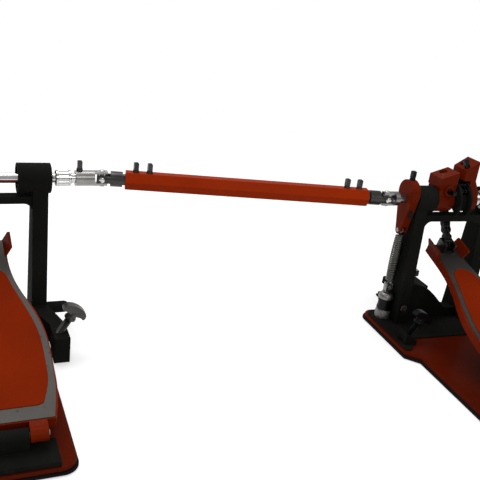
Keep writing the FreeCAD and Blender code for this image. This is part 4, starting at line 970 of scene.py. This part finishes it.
@dataclass
class FrameFoot(SubAssembly):
    """Thin black foot plate on the main base plate, and the crossmember that bows down from the shaft-side post."""

    base_top: float = 7.0
    thick: float = 1.6
    foot: Profile = ((52.0, -57.0), (68.0, -78.0), (73.0, -81.5), (79.0, -80.0), (79.0, 9.0), (75.5, 15.5),
                     (69.0, 19.0))
    inner: float = 41.0
    deep: float = 8.4
    sunk: float = 0.3
    foot_edge: float = 0.6
    cross_edge: float = 1.3
    sharp: float = 40.0
    brow: Profile = ((41.0, 20.0), (27.0, 20.6), (22.5, 22.2), (18.5, 25.0), (13.0, 30.2), (7.5, 35.4), (1.7, 40.6),
                     (-5.5, 46.2), (-13.4, 50.9), (-20.0, 53.8), (-26.8, 55.6), (-34.0, 56.4), (-41.0, 56.6))

    def cast(self, name: str, form: Form, width: float, *nodes: str) -> None:
        """Ease the edges of a form, their width in millimetres, and dress it as a casting."""
        piece = ease(put(name, form.mesh(name)), width, self.sharp)
        self.dress(piece, Finishes.CASTING, "main_base", Slot.CASTING, *nodes)

    def build(self) -> None:
        """Build the foot and the crossmember."""
        foot, cross, low = Form(), Form(), self.base_top
        foot.prism(mirrored(self.foot), low - self.sunk, low + self.thick, MAIN.basis())
        self.cast("main_cast_foot", foot, self.foot_edge)
        outline = [(-self.inner, low), (self.inner, low), *self.brow]
        cross.prism(outline, -self.deep, self.deep, MAIN.basis() @ UPRIGHT)
        self.cast("main_bowed_crossmember", cross, self.cross_edge, "main_crossmember")


@dataclass
class Footboards(SubAssembly):
    """Grey border plates and the tread panels on them."""

    hinge: Pair = (-236.0, 24.0)
    toe_rise: float = 15.0
    top: float = 6.0
    thick: float = 0.7
    inset: float = 1.2
    wide: float = 44.0
    heel: float = 38.0
    tip: float = 19.0
    start: float = 9.0
    end: float = 252.0
    wide_from: float = 60.0
    wide_to: float = 90.0
    narrow_at: float = 222.0
    margin: float = 6.6
    panel_from: float = 24.0
    panel_to: float = 205.0
    turn: float = 83.0
    panel_top: float = 7.4
    rim: float = 0.4
    sharp: float = 50.0
    sunk: float = 0.1
    steps: int = 14
    heel_steps: int = 8
    round_steps: int = 30
    heel_cut: Pair = (1.5, 2.0)

    def board(self, stand: Stand) -> Matrix:
        """Frame of a board at rest: Y along it from the hinge, Z out of its top; metres.

        Args:
            stand: the pedal.

        Returns:
            From the board's frame to the object's, in metres.
        """
        rise, run = stand.toe - self.hinge[1], TOE_Y - self.hinge[0]
        slope = math.atan2(rise, run) - math.asin(self.toe_rise / math.hypot(rise, run))
        return stand.basis(stand.board_middle, *self.hinge) @ Matrix.Rotation(slope, 4, "X")

    def flare(self, inset: float, start: float, steps: int) -> Outline:
        """Edge from the heel to the widest place, drawn in by an inset.

        Args:
            inset: how far the edge is drawn in.
            start: where it starts, from the hinge.
            steps: stretches of the edge.

        Returns:
            Points from the heel on.
        """
        grow = self.wide - self.heel
        return [(self.heel - inset + grow * math.sin(math.pi / 2 * i / steps),
                 start + (self.wide_from - start) * i / steps) for i in range(steps + 1)]

    def half_at(self, along: float) -> float:
        """Half width of a board at a distance from its hinge, past the straight sides."""
        share = min(max((along - self.wide_to) / (self.narrow_at - self.wide_to), 0.0), 1.0)
        return self.tip + (self.wide - self.tip) * (1 + math.cos(math.pi * share)) / 2

    def border(self) -> Outline:
        """Border plate's outline, counter-clockwise.

        Returns:
            Points in the board's frame.
        """
        half = self.flare(self.inset, self.start + self.inset, self.steps)
        for i in range(self.steps + 1):
            along = self.wide_to + (self.narrow_at - self.wide_to) * i / self.steps
            half.append((self.half_at(along) - self.inset, along))
        return mirrored([*half, (self.tip - self.inset, self.end - self.inset)])

    def panel(self) -> Outline:
        """Tread panel's outline: an even grey border, rounded at the toe end.

        Returns:
            Points in the board's frame.
        """
        wide, heel, low = self.wide - self.margin, self.heel - self.margin, self.panel_from
        half = [(heel - self.margin, low), (heel - self.heel_cut[0], low + self.heel_cut[1])]
        half += self.flare(self.margin, low + self.margin, self.heel_steps)
        for i in range(self.round_steps + 1):
            share = math.sin(math.pi / 2 * i / self.round_steps)
            along = self.turn + (self.panel_to - self.turn) * share
            half.append((min(self.half_at(along) - self.margin, wide * math.sqrt(1 - share ** 2)), along))
        return mirrored(half)

    def build(self) -> None:
        """Build the tread panel and the border plate of each board."""
        for stand in STANDS:
            name, body, board, panel, border = stand.name, f"{stand.name}_board", self.board(stand), Form(), Form()
            panel.prism(self.panel(), self.top, self.panel_top, board)
            piece = ease(put(f"{name}_tread", panel.mesh("tread")), self.rim, self.sharp)
            self.dress(piece, Finishes.PANEL, body, Slot.PANEL, f"{name}_tread_panel")
            border.prism(self.border(), self.top - self.sunk, self.top + self.thick, board)
            self.dress(put(f"{name}_border", border.mesh("border")), Finishes.BORDER, body, Slot.NICKEL)


@dataclass
class Chains(SubAssembly):
    """Two-strand roller chain: the straight run and the stretch wound on each cam."""

    repeater: Repeater
    radius: float = 22.0
    leave: float = -5.0
    wound: int = 6
    plate: float = 1.1
    round_end: float = 3.8
    waist: float = 2.7
    rows_outer: tuple[float, ...] = (-4.4, 0.0, 4.4)
    rows_inner: tuple[float, ...] = (-3.1, -1.35, 1.35, 3.1)
    roller: float = 2.5
    pin: float = 1.6
    pin_tip: float = 1.2
    pin_proud: float = 0.45
    steps: int = 7
    sides: int = 12

    def on_cam(self, angle: float) -> Pair:
        """A point of the wound chain's line."""
        return self.radius * math.cos(angle), AXLE_Z + self.radius * math.sin(angle)

    def figure(self, pitch: float) -> Outline:
        """Outline of a link plate, two rounds and a waist, from the lower pin at the origin.

        Args:
            pitch: distance between the link's pins.

        Returns:
            Points of the outline.
        """
        points = []
        for centre, first, side in ((0.0, math.pi, 1.0), (pitch, 0.0, -1.0)):
            for i in range(self.steps + 1):
                angle = first + math.pi * i / self.steps
                points.append((self.round_end * math.cos(angle), centre + self.round_end * math.sin(angle)))
            points.append((side * self.waist, pitch / 2))
        return points

    def link(self, pitch: float, rows: Sequence[float], pins: bool) -> Mesh:
        """One link along +Z from its lower pin.

        Args:
            pitch: distance between the link's pins.
            rows: places of the plates across the chain.
            pins: whether the link carries its two pins and rollers.

        Returns:
            The link's mesh.
        """
        form, half, proud = Form(), self.plate / 2, self.pin_proud
        end = self.rows_outer[-1] + half
        tip = spool(self.pin, end + proud, ((self.pin_tip - self.pin, 0.0), (0.0, proud)))
        for row in rows:
            form.prism(self.figure(pitch), row - half, row + half, turned(90.0, "Z") @ UPRIGHT)
        for height in (0.0, pitch) if pins else ():
            for profile in (spool(self.roller, end), tip):
                form.lathe(profile, shift(0, 0, height) @ ON_X, self.sides)
        return form.mesh("link")

    def spots(self, stand: Stand, pins: Sequence[Pair]) -> list[tuple[Vector, Euler]]:
        """Place and turn of each link between neighbouring pins.

        Args:
            stand: the pedal.
            pins: places of the pins, along and up.

        Returns:
            Place in metres and turn, link by link.
        """
        made = []
        for (y, z), (next_y, next_z) in zip(pins, pins[1:]):
            lean = -math.atan2(next_y - y, next_z - z)
            made.append((stand.at(stand.board_middle, y, z), Euler((lean, 0.0, stand.yaw))))
        return made

    def build(self) -> None:
        """Set the links of both pedals."""
        leave = math.radians(self.leave)
        end = self.on_cam(leave)
        for stand in STANDS:
            name, foot, count = stand.name, (TOE_Y, stand.toe), stand.links
            pitch = math.dist(end, foot) / count
            step = 2 * math.asin(pitch / (2 * self.radius))
            outer, inner = self.link(pitch, self.rows_outer, True), self.link(pitch, self.rows_inner, False)
            run = [tuple(a + (b - a) * i / count for a, b in zip(foot, end)) for i in range(count + 1)]
            wound = [self.on_cam(leave + step * i) for i in range(self.wound + 1)]
            for label, body, pins, pair, nodes in (
                    ("chain", "chain", run, (outer, inner), [f"{name}_chain_run"]),
                    ("wound", "drive", wound, (inner, outer), [])):
                spots = self.spots(stand, pins)
                piece = self.repeater.spread(f"{name}_{label}_links", spots, *pair, Finishes.CHAIN)
                self.dress(piece, Finishes.CHAIN, f"{name}_{body}", Slot.CASTING, *nodes)


@dataclass
class Springs(SubAssembly):
    """Extension springs with hooks, and the felt dampers inside them."""

    tube: Tube
    low: float = 53.0
    high: float = 128.0
    radius: float = 4.6
    swell: float = 0.9
    wire: float = 0.9
    turns: int = 25
    pitch: float = 2.42
    hook: float = 3.6
    turn_steps: int = 26
    bend_steps: int = 15
    bend_pull: float = 1.15
    bend_out: Point = (0.0, -0.87, 0.5)
    hook_steps: int = 22
    hook_from: float = 240.0
    hook_sweep: float = 265.0
    felt_radius: float = 3.2
    felt_middle: float = 100.0
    felt_half: float = 15.0
    felt_end: Profile = ((-0.96, 0.15), (-0.224, 0.9), (0.0, 2.2), (-0.096, 15.0))
    felt_sides: int = 24
    felt_sharp: float = 60.0

    def upper_half(self) -> list[Vector]:
        """The wire from the middle of the coil to the end of its upper hook, about the spring's middle.

        Returns:
            Points in millimetres.
        """
        steps, sweep = int(self.turns / 2 * self.turn_steps), math.pi * self.turns
        points = []
        for i in range(steps + 1):
            angle = sweep * i / steps + math.pi * (self.turns % 2)
            wide = self.radius + self.swell * math.cos(math.pi / 2 * i / steps)
            points.append(Vector((wide * math.cos(angle), wide * math.sin(angle),
                                  self.pitch * self.turns / 2 * i / steps)))
        pin, hook = (self.high - self.low) / 2, []
        for i in range(self.hook_steps + 1):
            angle = math.radians(self.hook_from - self.hook_sweep * i / self.hook_steps)
            hook.append(Vector((0.0, self.hook * math.cos(angle), pin + self.hook * math.sin(angle))))
        first, last, pull = points[-1], hook[0], self.bend_pull / 3
        reach = (last - first).length * pull
        way_in, way_out = (first - points[-2]).normalized() * reach, Vector(self.bend_out) * reach
        bend = interpolate_bezier(first, first + way_in, last - way_out, last, self.bend_steps + 1)
        return points + bend[1:-1] + hook

    def line(self, stand: Stand, x: float) -> list[Vector]:
        """The whole wire in metres, from its lower hook to its upper one.

        Args:
            stand: the pedal.
            x: place across the pedal.

        Returns:
            Points in metres.
        """
        upper = self.upper_half()
        lower = [Vector((p.x, -p.y, -p.z)) for p in upper[1:]]
        middle = Vector((x, 0.0, (self.low + self.high) / 2))
        return [stand.at(*(middle + p)) for p in list(reversed(lower)) + upper]

    def felt(self, stand: Stand, x: float) -> Mesh:
        """A felt plug with crowned ends.

        Args:
            stand: the pedal.
            x: place across the pedal.

        Returns:
            The plug's mesh.
        """
        form = Form()
        form.lathe(spool(self.felt_radius, self.felt_half, self.felt_end),
                   Matrix.Translation(stand.at(x, 0.0, self.felt_middle)), self.felt_sides)
        return form.mesh("felt_plug", self.felt_sharp)

    def build(self) -> None:
        """Build every spring and its felt."""
        middle, half = (self.low + self.high) / 2, self.turns * self.pitch / 2
        for label, (stand, x) in LEVERS.items():
            coil = self.tube.draw(f"{label}_coil", self.line(stand, x), self.wire, Finishes.SPRING)
            stand.at(x, 0.0, middle - half)
            stand.at(x, 0.0, middle + half)
            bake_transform(coil)
            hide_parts(f"{label}_spring")
            LOG.info("%s stretches with %s_felt", coil.name, label)
            plug = put(f"{label}_felt_plug", self.felt(stand, x))
            self.dress(plug, Finishes.FELT, f"{label}_felt", Slot.FELT, f"{label}_felt")


@dataclass
class TensionRods(SubAssembly):
    """Tension rods: clevis, dome nut, black lock ring and knurled nut under each spring."""

    low: float = 7.0
    ring_low: float = 20.5
    dome_low: float = 35.5
    dome_top: float = 43.5
    radius: float = 9.75
    nut_foot: Profile = ((-1.2, 0.0), (-0.6, 0.9), (-0.6, 1.6))
    nut_knurl: Profile = ((-0.6, 1.6), (0.0, 2.1))
    nut_top: Profile = ((-0.6, 1.6), (-1.2, 0.0))
    nut_sharp: float = 28.0
    dome_foot: Profile = ((-0.5, 0.0), (0.0, 0.6))
    dome_rim: float = 1.6
    dome_neck: float = 4.6
    dome_steps: int = 8
    ring_radius: float = 9.35
    ring_gap: float = 0.05
    ring_end: Profile = ((-0.8, 0.0), (0.0, 0.8), (0.0, 3.2), (-0.7, 3.7))
    rod: float = 4.0
    rod_root: float = 3.55
    rod_pitch: float = 0.8
    rod_flank: Pair = (0.1, 0.5)
    rod_sunk: Pair = (1.0, 0.2)
    pin_z: float = 53.0
    pin_radius: float = 2.0
    pin_head: Profile = ((0.7, 0.0), (0.7, 0.6), (0.0, 0.6))
    pin_half: float = 5.6
    fork: Point = (10.0, 7.0, 12.0)
    fork_floor: float = 2.2
    fork_edge: float = 0.7
    slot: float = 6.2
    knurl_sides: int = 72
    nut_sides: int = 48
    rod_sides: int = 24
    pin_sides: int = 20

    def nuts(self, turns: Iterable[Matrix]) -> Mesh:
        """Knurled nuts and dome nuts.

        Args:
            turns: frames of the pedal's rods.

        Returns:
            One mesh of all nuts.
        """
        form, r, low, high, knurls = Form(), self.radius, self.low, self.ring_low, self.knurl_sides
        start = self.dome_low + self.dome_rim
        arc = [math.pi / 2 * i / self.dome_steps for i in range(self.dome_steps + 1)]
        dome = [(self.dome_neck + (r - self.dome_neck) * math.cos(a), start + (self.dome_top - start) * math.sin(a))
                for a in arc]
        knurl = [*stepped(r, low, self.nut_knurl), *stepped(r, high, self.nut_knurl[::-1], -1)]
        for turn in turns:
            form.lathe([(0, low), *stepped(r, low, self.nut_foot)], turn, knurls)
            form.lathe(knurl, turn, knurls, KNURL)
            form.lathe([*stepped(r, high, self.nut_top, -1), (0, high)], turn, knurls)
            form.lathe([(0, self.dome_low), *stepped(r, self.dome_low, self.dome_foot), *dome, (0, self.dome_top)],
                       turn, self.nut_sides)
        return form.mesh("nuts", self.nut_sharp)

    def rings(self, turns: Iterable[Matrix]) -> Mesh:
        """Black lock rings with a grooved rim.

        Args:
            turns: frames of the pedal's rods.

        Returns:
            One mesh of all rings.
        """
        form, half = Form(), (self.dome_low - self.ring_low) / 2
        for turn in turns:
            form.lathe(spool(self.ring_radius, half - self.ring_gap, self.ring_end),
                       turn @ shift(0, 0, self.ring_low + half), self.nut_sides)
        return form.mesh("lock_rings")

    def forks(self, turns: Iterable[Matrix]) -> Mesh:
        """Threaded stubs with the clevis and pin that hold the springs' lower hooks.

        Args:
            turns: frames of the pedal's rods.

        Returns:
            One mesh of all stubs.
        """
        form, (wide, deep, tall), (below, into) = Form(), self.fork, self.rod_sunk
        foot, cheek, start = self.pin_z + deep / 2 - tall, (wide - self.slot) / 2, self.dome_top - below
        stub = [(0, start), *thread(self.rod, self.rod_root, start, foot - into, self.rod_pitch, self.rod_flank),
                (self.rod, foot + into), (0, foot + into)]
        for turn in turns:
            form.lathe(stub, turn, self.rod_sides)
            form.box((wide, deep, self.fork_floor), turn @ shift(0, 0, foot + self.fork_floor / 2))
            for side in (-1, 1):
                at = shift(side * (wide - cheek) / 2, 0, foot + tall / 2)
                form.box((cheek, deep, tall), turn @ at, self.fork_edge)
            form.lathe(spool(self.pin_radius, self.pin_half, self.pin_head), turn @ shift(0, 0, self.pin_z) @ ON_X,
                       self.pin_sides)
        return form.mesh("forks")

    def build(self) -> None:
        """Build the rods of both pedals."""
        for stand in STANDS:
            turns = [stand.basis(x) for _, x in stand.springs]
            for label, mesh, finish, slot, nodes in (
                    ("spring_nuts", self.nuts(turns), Finishes.NUTS, Slot.CHROME, [f"{stand.name}_tension_nuts"]),
                    ("lock_rings", self.rings(turns), Finishes.OXIDE, Slot.CASTING, []),
                    ("spring_forks", self.forks(turns), Finishes.NICKEL, Slot.NICKEL, [])):
                self.dress(put(f"{stand.name}_{label}", mesh), finish, f"{stand.name}_base", slot, *nodes)


@dataclass
class KeyScrews(SubAssembly):
    """Drum-key screws with a cone flange and a chamfered square head."""

    repeater: Repeater
    flange: Profile = ((0.0, -1.0), (2.5, -1.0), (3.1, 0.0), (3.5, 0.3), (3.5, 1.1), (3.0, 3.0), (0.0, 3.0))
    flange_sides: int = 24
    square: Profile = ((2.5, 2.8), (2.5, 10.1), (1.7, 11.0))
    lever_top: float = 191.5
    tube_first: float = 36.0
    tube_step: float = 15.0
    tube_half: float = 9.5
    main_seat: Point = (4.8, -6.25, AXLE_Z + 40 + HUB_SLOPE * 4.5)
    left_seat: Point = (-19.35, -15.5, AXLE_Z + 14.5)
    yoke_seat: Point = (86.5, 0.0, AXLE_Z + 8.5)

    def screw(self) -> Mesh:
        """One screw along +Z from its seat.

        Returns:
            The screw's mesh.
        """
        form, still = Form(), Matrix.Identity(4)
        form.lathe(self.flange, still, self.flange_sides)
        form.loft([form.ring([(w, w, z), (-w, w, z), (-w, -w, z), (w, -w, z)], still) for w, z in self.square])
        return form.mesh("key_screw")

    def groups(self) -> list[tuple[str, str, Finish, list[tuple[Vector, Vector]]]]:
        """Node, body, finish and the place and axis of each screw.

        Returns:
            A row for each node.
        """
        up = Vector((0, 0, 1))
        tube = [((at + way * (self.tube_first + self.tube_step * i) + up * self.tube_half) * MM, up)
                for at, way in ((CROSS_LEFT, SHAFT), (CROSS_RIGHT, -SHAFT)) for i in range(2)]
        right, left, slave = ([(stand.at(x, 0, self.lever_top), up)] for stand, x in LEVERS.values())
        right.append((MAIN.at(*self.main_seat), Vector((-HUB_SLOPE, 0, 1)).normalized()))
        left.append((MAIN.at(*self.left_seat), Vector((0, -1, 0))))
        slave.append((SLAVE.at(*self.yoke_seat), up))
        return [("tube", "drive_tube", Finishes.DARK, tube), ("main_axle", "main_drive", Finishes.OXIDE, right),
                ("left_drive", "left_drive", Finishes.OXIDE, left),
                ("slave_axle", "slave_drive", Finishes.DARK, slave)]

    def build(self) -> None:
        """Set every key screw."""
        screw = self.screw()
        for name, body, finish, seats in self.groups():
            spots = [(at, axis.to_track_quat("Z", "Y").to_euler()) for at, axis in seats]
            piece = self.repeater.spread(f"{name}_key_screws", spots, screw, screw, finish)
            self.dress(piece, finish, body, Slot.NICKEL, f"{name}_screws")


@dataclass
class JointDetails(SubAssembly):
    """Rivet heads on the crosses, the knurled collar, and the lever slots as black plates of painted shade, with
    their pins.
    """

    rivet: Profile = ((0.0, 8.2), (3.1, 8.2), (3.1, 8.7), (2.666, 9.1), (1.55, 9.35), (0.0, 9.4))
    head_sides: int = 20
    collar: Pair = (60.8, 77.2)
    collar_radius: float = 8.7
    collar_inset: float = 3.0
    collar_sides: tuple[int, int] = (40, 64)
    rim: Profile = ((0.0, 0.0), (7.8, 0.0), (8.9, 0.7), (8.9, 2.7), (8.2, 3.2), (0.0, 3.2))
    lever_half: float = 5.0
    # Each lever slot is drawn as a thin black plate: painted shade.
    slot_shade_mid: float = 156.0
    slot_shade_size: Point = (4.4, 1.0, 20.0)
    slot_shade_face: float = 11.5
    slot_shade_lean: float = 12.64
    slot_shade_steps: int = 8
    pin_z: float = 128.0
    pin_head: Profile = ((0.0, -0.4), (2.7, -0.4), (2.7, 0.4), (2.2, 0.9), (0.0, 1.0))

    def rivets(self, at: Vector) -> Mesh:
        """Four domed rivet heads on the pins of one cross.

        Args:
            at: middle of the cross.

        Returns:
            The rivets' mesh.
        """
        form, level, up = Form(), Vector((SHAFT.y, -SHAFT.x, 0.0)), Vector((0, 0, 1))
        for axis in (level, -level, up, -up):
            form.lathe(self.rivet, shift(*at) @ axis.to_track_quat("Z", "Y").to_matrix().to_4x4(), self.head_sides)
        return form.mesh("rivets")

    def knurled(self) -> Mesh:
        """Collar on the slave axle: two plain rims and a knurled waist.

        Returns:
            The collar's mesh.
        """
        form, (low, high), (plain, knurls) = Form(), self.collar, self.collar_sides
        turn = SLAVE.basis(z=AXLE_Z) @ ON_X
        for start in (low, high - self.rim[-1][1]):
            form.lathe(self.rim, turn @ shift(0, 0, start), plain)
        waist = spool(self.collar_radius, (high - low) / 2 - self.collar_inset)
        form.lathe(waist, turn @ shift(0, 0, (low + high) / 2), knurls, KNURL)
        return form.mesh("collar")

    def slot(self, stand: Stand, x: float) -> Mesh:
        """Thin black plate with rounded ends on a lever's rear edge: painted shade that stands for the slot.

        Args:
            stand: the pedal.
            x: place across the pedal.

        Returns:
            The plate's mesh.
        """
        form, (wide, deep, tall) = Form(), self.slot_shade_size
        r, straight = wide / 2, (tall - wide) / 2
        arc = [math.pi * i / self.slot_shade_steps for i in range(self.slot_shade_steps + 1)]
        outline = [(side * r * math.cos(a), side * (straight + r * math.sin(a))) for side in (1, -1) for a in arc]
        turn = stand.basis(x, -self.slot_shade_face, self.slot_shade_mid) @ turned(90.0 - self.slot_shade_lean, "X")
        form.prism(outline, -deep / 2, deep / 2, turn)
        return form.mesh("slot")

    def pin(self, stand: Stand, x: float) -> Mesh:
        """Head of the spring pin on a lever's outer face.

        Args:
            stand: the pedal.
            x: place across the pedal.

        Returns:
            The head's mesh.
        """
        form, side = Form(), math.copysign(1.0, x)
        turn = stand.basis(x + side * self.lever_half, 0, self.pin_z) @ turned(side * 90.0, "Y")
        form.lathe(self.pin_head, turn, self.head_sides)
        return form.mesh("pin_head")

    def build(self) -> None:
        """Build every detail."""
        for label, at in (("left", CROSS_LEFT), ("right", CROSS_RIGHT)):
            heads = put(f"{label}_cross_rivets", self.rivets(at))
            self.dress(heads, Finishes.CHROME, f"{label}_cross", Slot.CHROME)
        self.dress(put("slave_knurled_collar", self.knurled()), Finishes.CHROME, "slave_drive", Slot.CHROME)
        for label, body in DRIVES.items():
            stand, x = LEVERS[label]
            # A thin black plate of painted shade stands for each lever slot.
            self.dress(put(f"{label}_lever_slot", self.slot(stand, x)), Finishes.OXIDE, body, Slot.CASTING)
            self.dress(put(f"{label}_pin_head", self.pin(stand, x)), Finishes.NICKEL, body, Slot.NICKEL)


@dataclass
class TBolts(SubAssembly):
    """T-bolts: a threaded shank, a turned hub and a rounded wing."""

    tilt: float = 32.0
    sunk: float = 9.5
    free: float = 16.0
    crest: float = 3.98
    root: float = 3.5
    pitch: float = 1.1
    flank: Pair = (0.15, 0.65)
    thread_gap: float = 1.0
    hub: Profile = ((4.0, -0.3), (5.2, 0.0), (6.2, 1.0), (6.2, 3.4), (5.4, 4.2), (5.0, 9.0), (0.0, 9.0))
    hub_sides: int = 28
    wing_rise: float = 8.0
    wing: Profile = ((4.8, -1.0), (8.4, -0.3), (11.2, -1.2), (12.6, -0.6), (13.0, 1.6), (12.2, 4.4), (9.6, 6.9),
                     (5.2, 8.5), (0.0, 9.0))
    thick: float = 9.0
    rim: float = 1.8
    rim_steps: int = 3
    rim_angle: float = 60.0
    sharp: float = 40.0
    # The main T-bolt takes black oxide, darker than the slave's dark nickel: painted shade.
    seats: tuple[tuple[Stand, Point, Finish], ...] = (
        (MAIN, (-66.0, -62.0, 18.0), Finishes.OXIDE), (SLAVE, (57.5, -80.0, 28.0), Finishes.DARK))

    def bolt(self, turn: Matrix) -> Mesh:
        """One T-bolt along +Z from the face of its block.

        Args:
            turn: frame of the bolt.

        Returns:
            The bolt's mesh.
        """
        form, part, half = Form(), Form(), self.thick / 2
        shank = thread(self.crest, self.root, -self.sunk, self.free - self.thread_gap, self.pitch, self.flank)
        form.lathe([(0, -self.sunk), *shank, *stepped(0.0, self.free, self.hub)], turn, self.hub_sides)
        part.prism(mirrored(self.wing), -half, half, shift(0, 0, self.free + self.wing_rise) @ UPRIGHT)
        rims = [e for e in part.bm.edges if e.calc_face_angle(0.0) > math.radians(self.rim_angle)]
        form.take(part, turn, rims, self.rim, self.rim_steps)
        return form.mesh("t_bolt", self.sharp)

    def build(self) -> None:
        """Build both T-bolts."""
        for stand, seat, finish in self.seats:
            name, turn = f"{stand.name}_t_bolt", stand.basis(*seat) @ turned(self.tilt, "Y")
            self.dress(put(f"{stand.name}_turned_t_bolt", self.bolt(turn)), finish, name, Slot.NICKEL, name)


def main() -> None:
    """Build the scene, sub-assembly by sub-assembly."""
    logging.basicConfig(level=logging.INFO, format="%(message)s")
    Studio().build()
    repeater, tube = Repeater(), Tube()
    for step in (Castings(), FrameFoot(), Footboards(), Chains(repeater), Springs(tube), TensionRods(),
                 KeyScrews(repeater), JointDetails(), TBolts()):
        LOG.info("building %s", type(step).__name__)
        step.build()


if __name__ == "__main__":
    main()
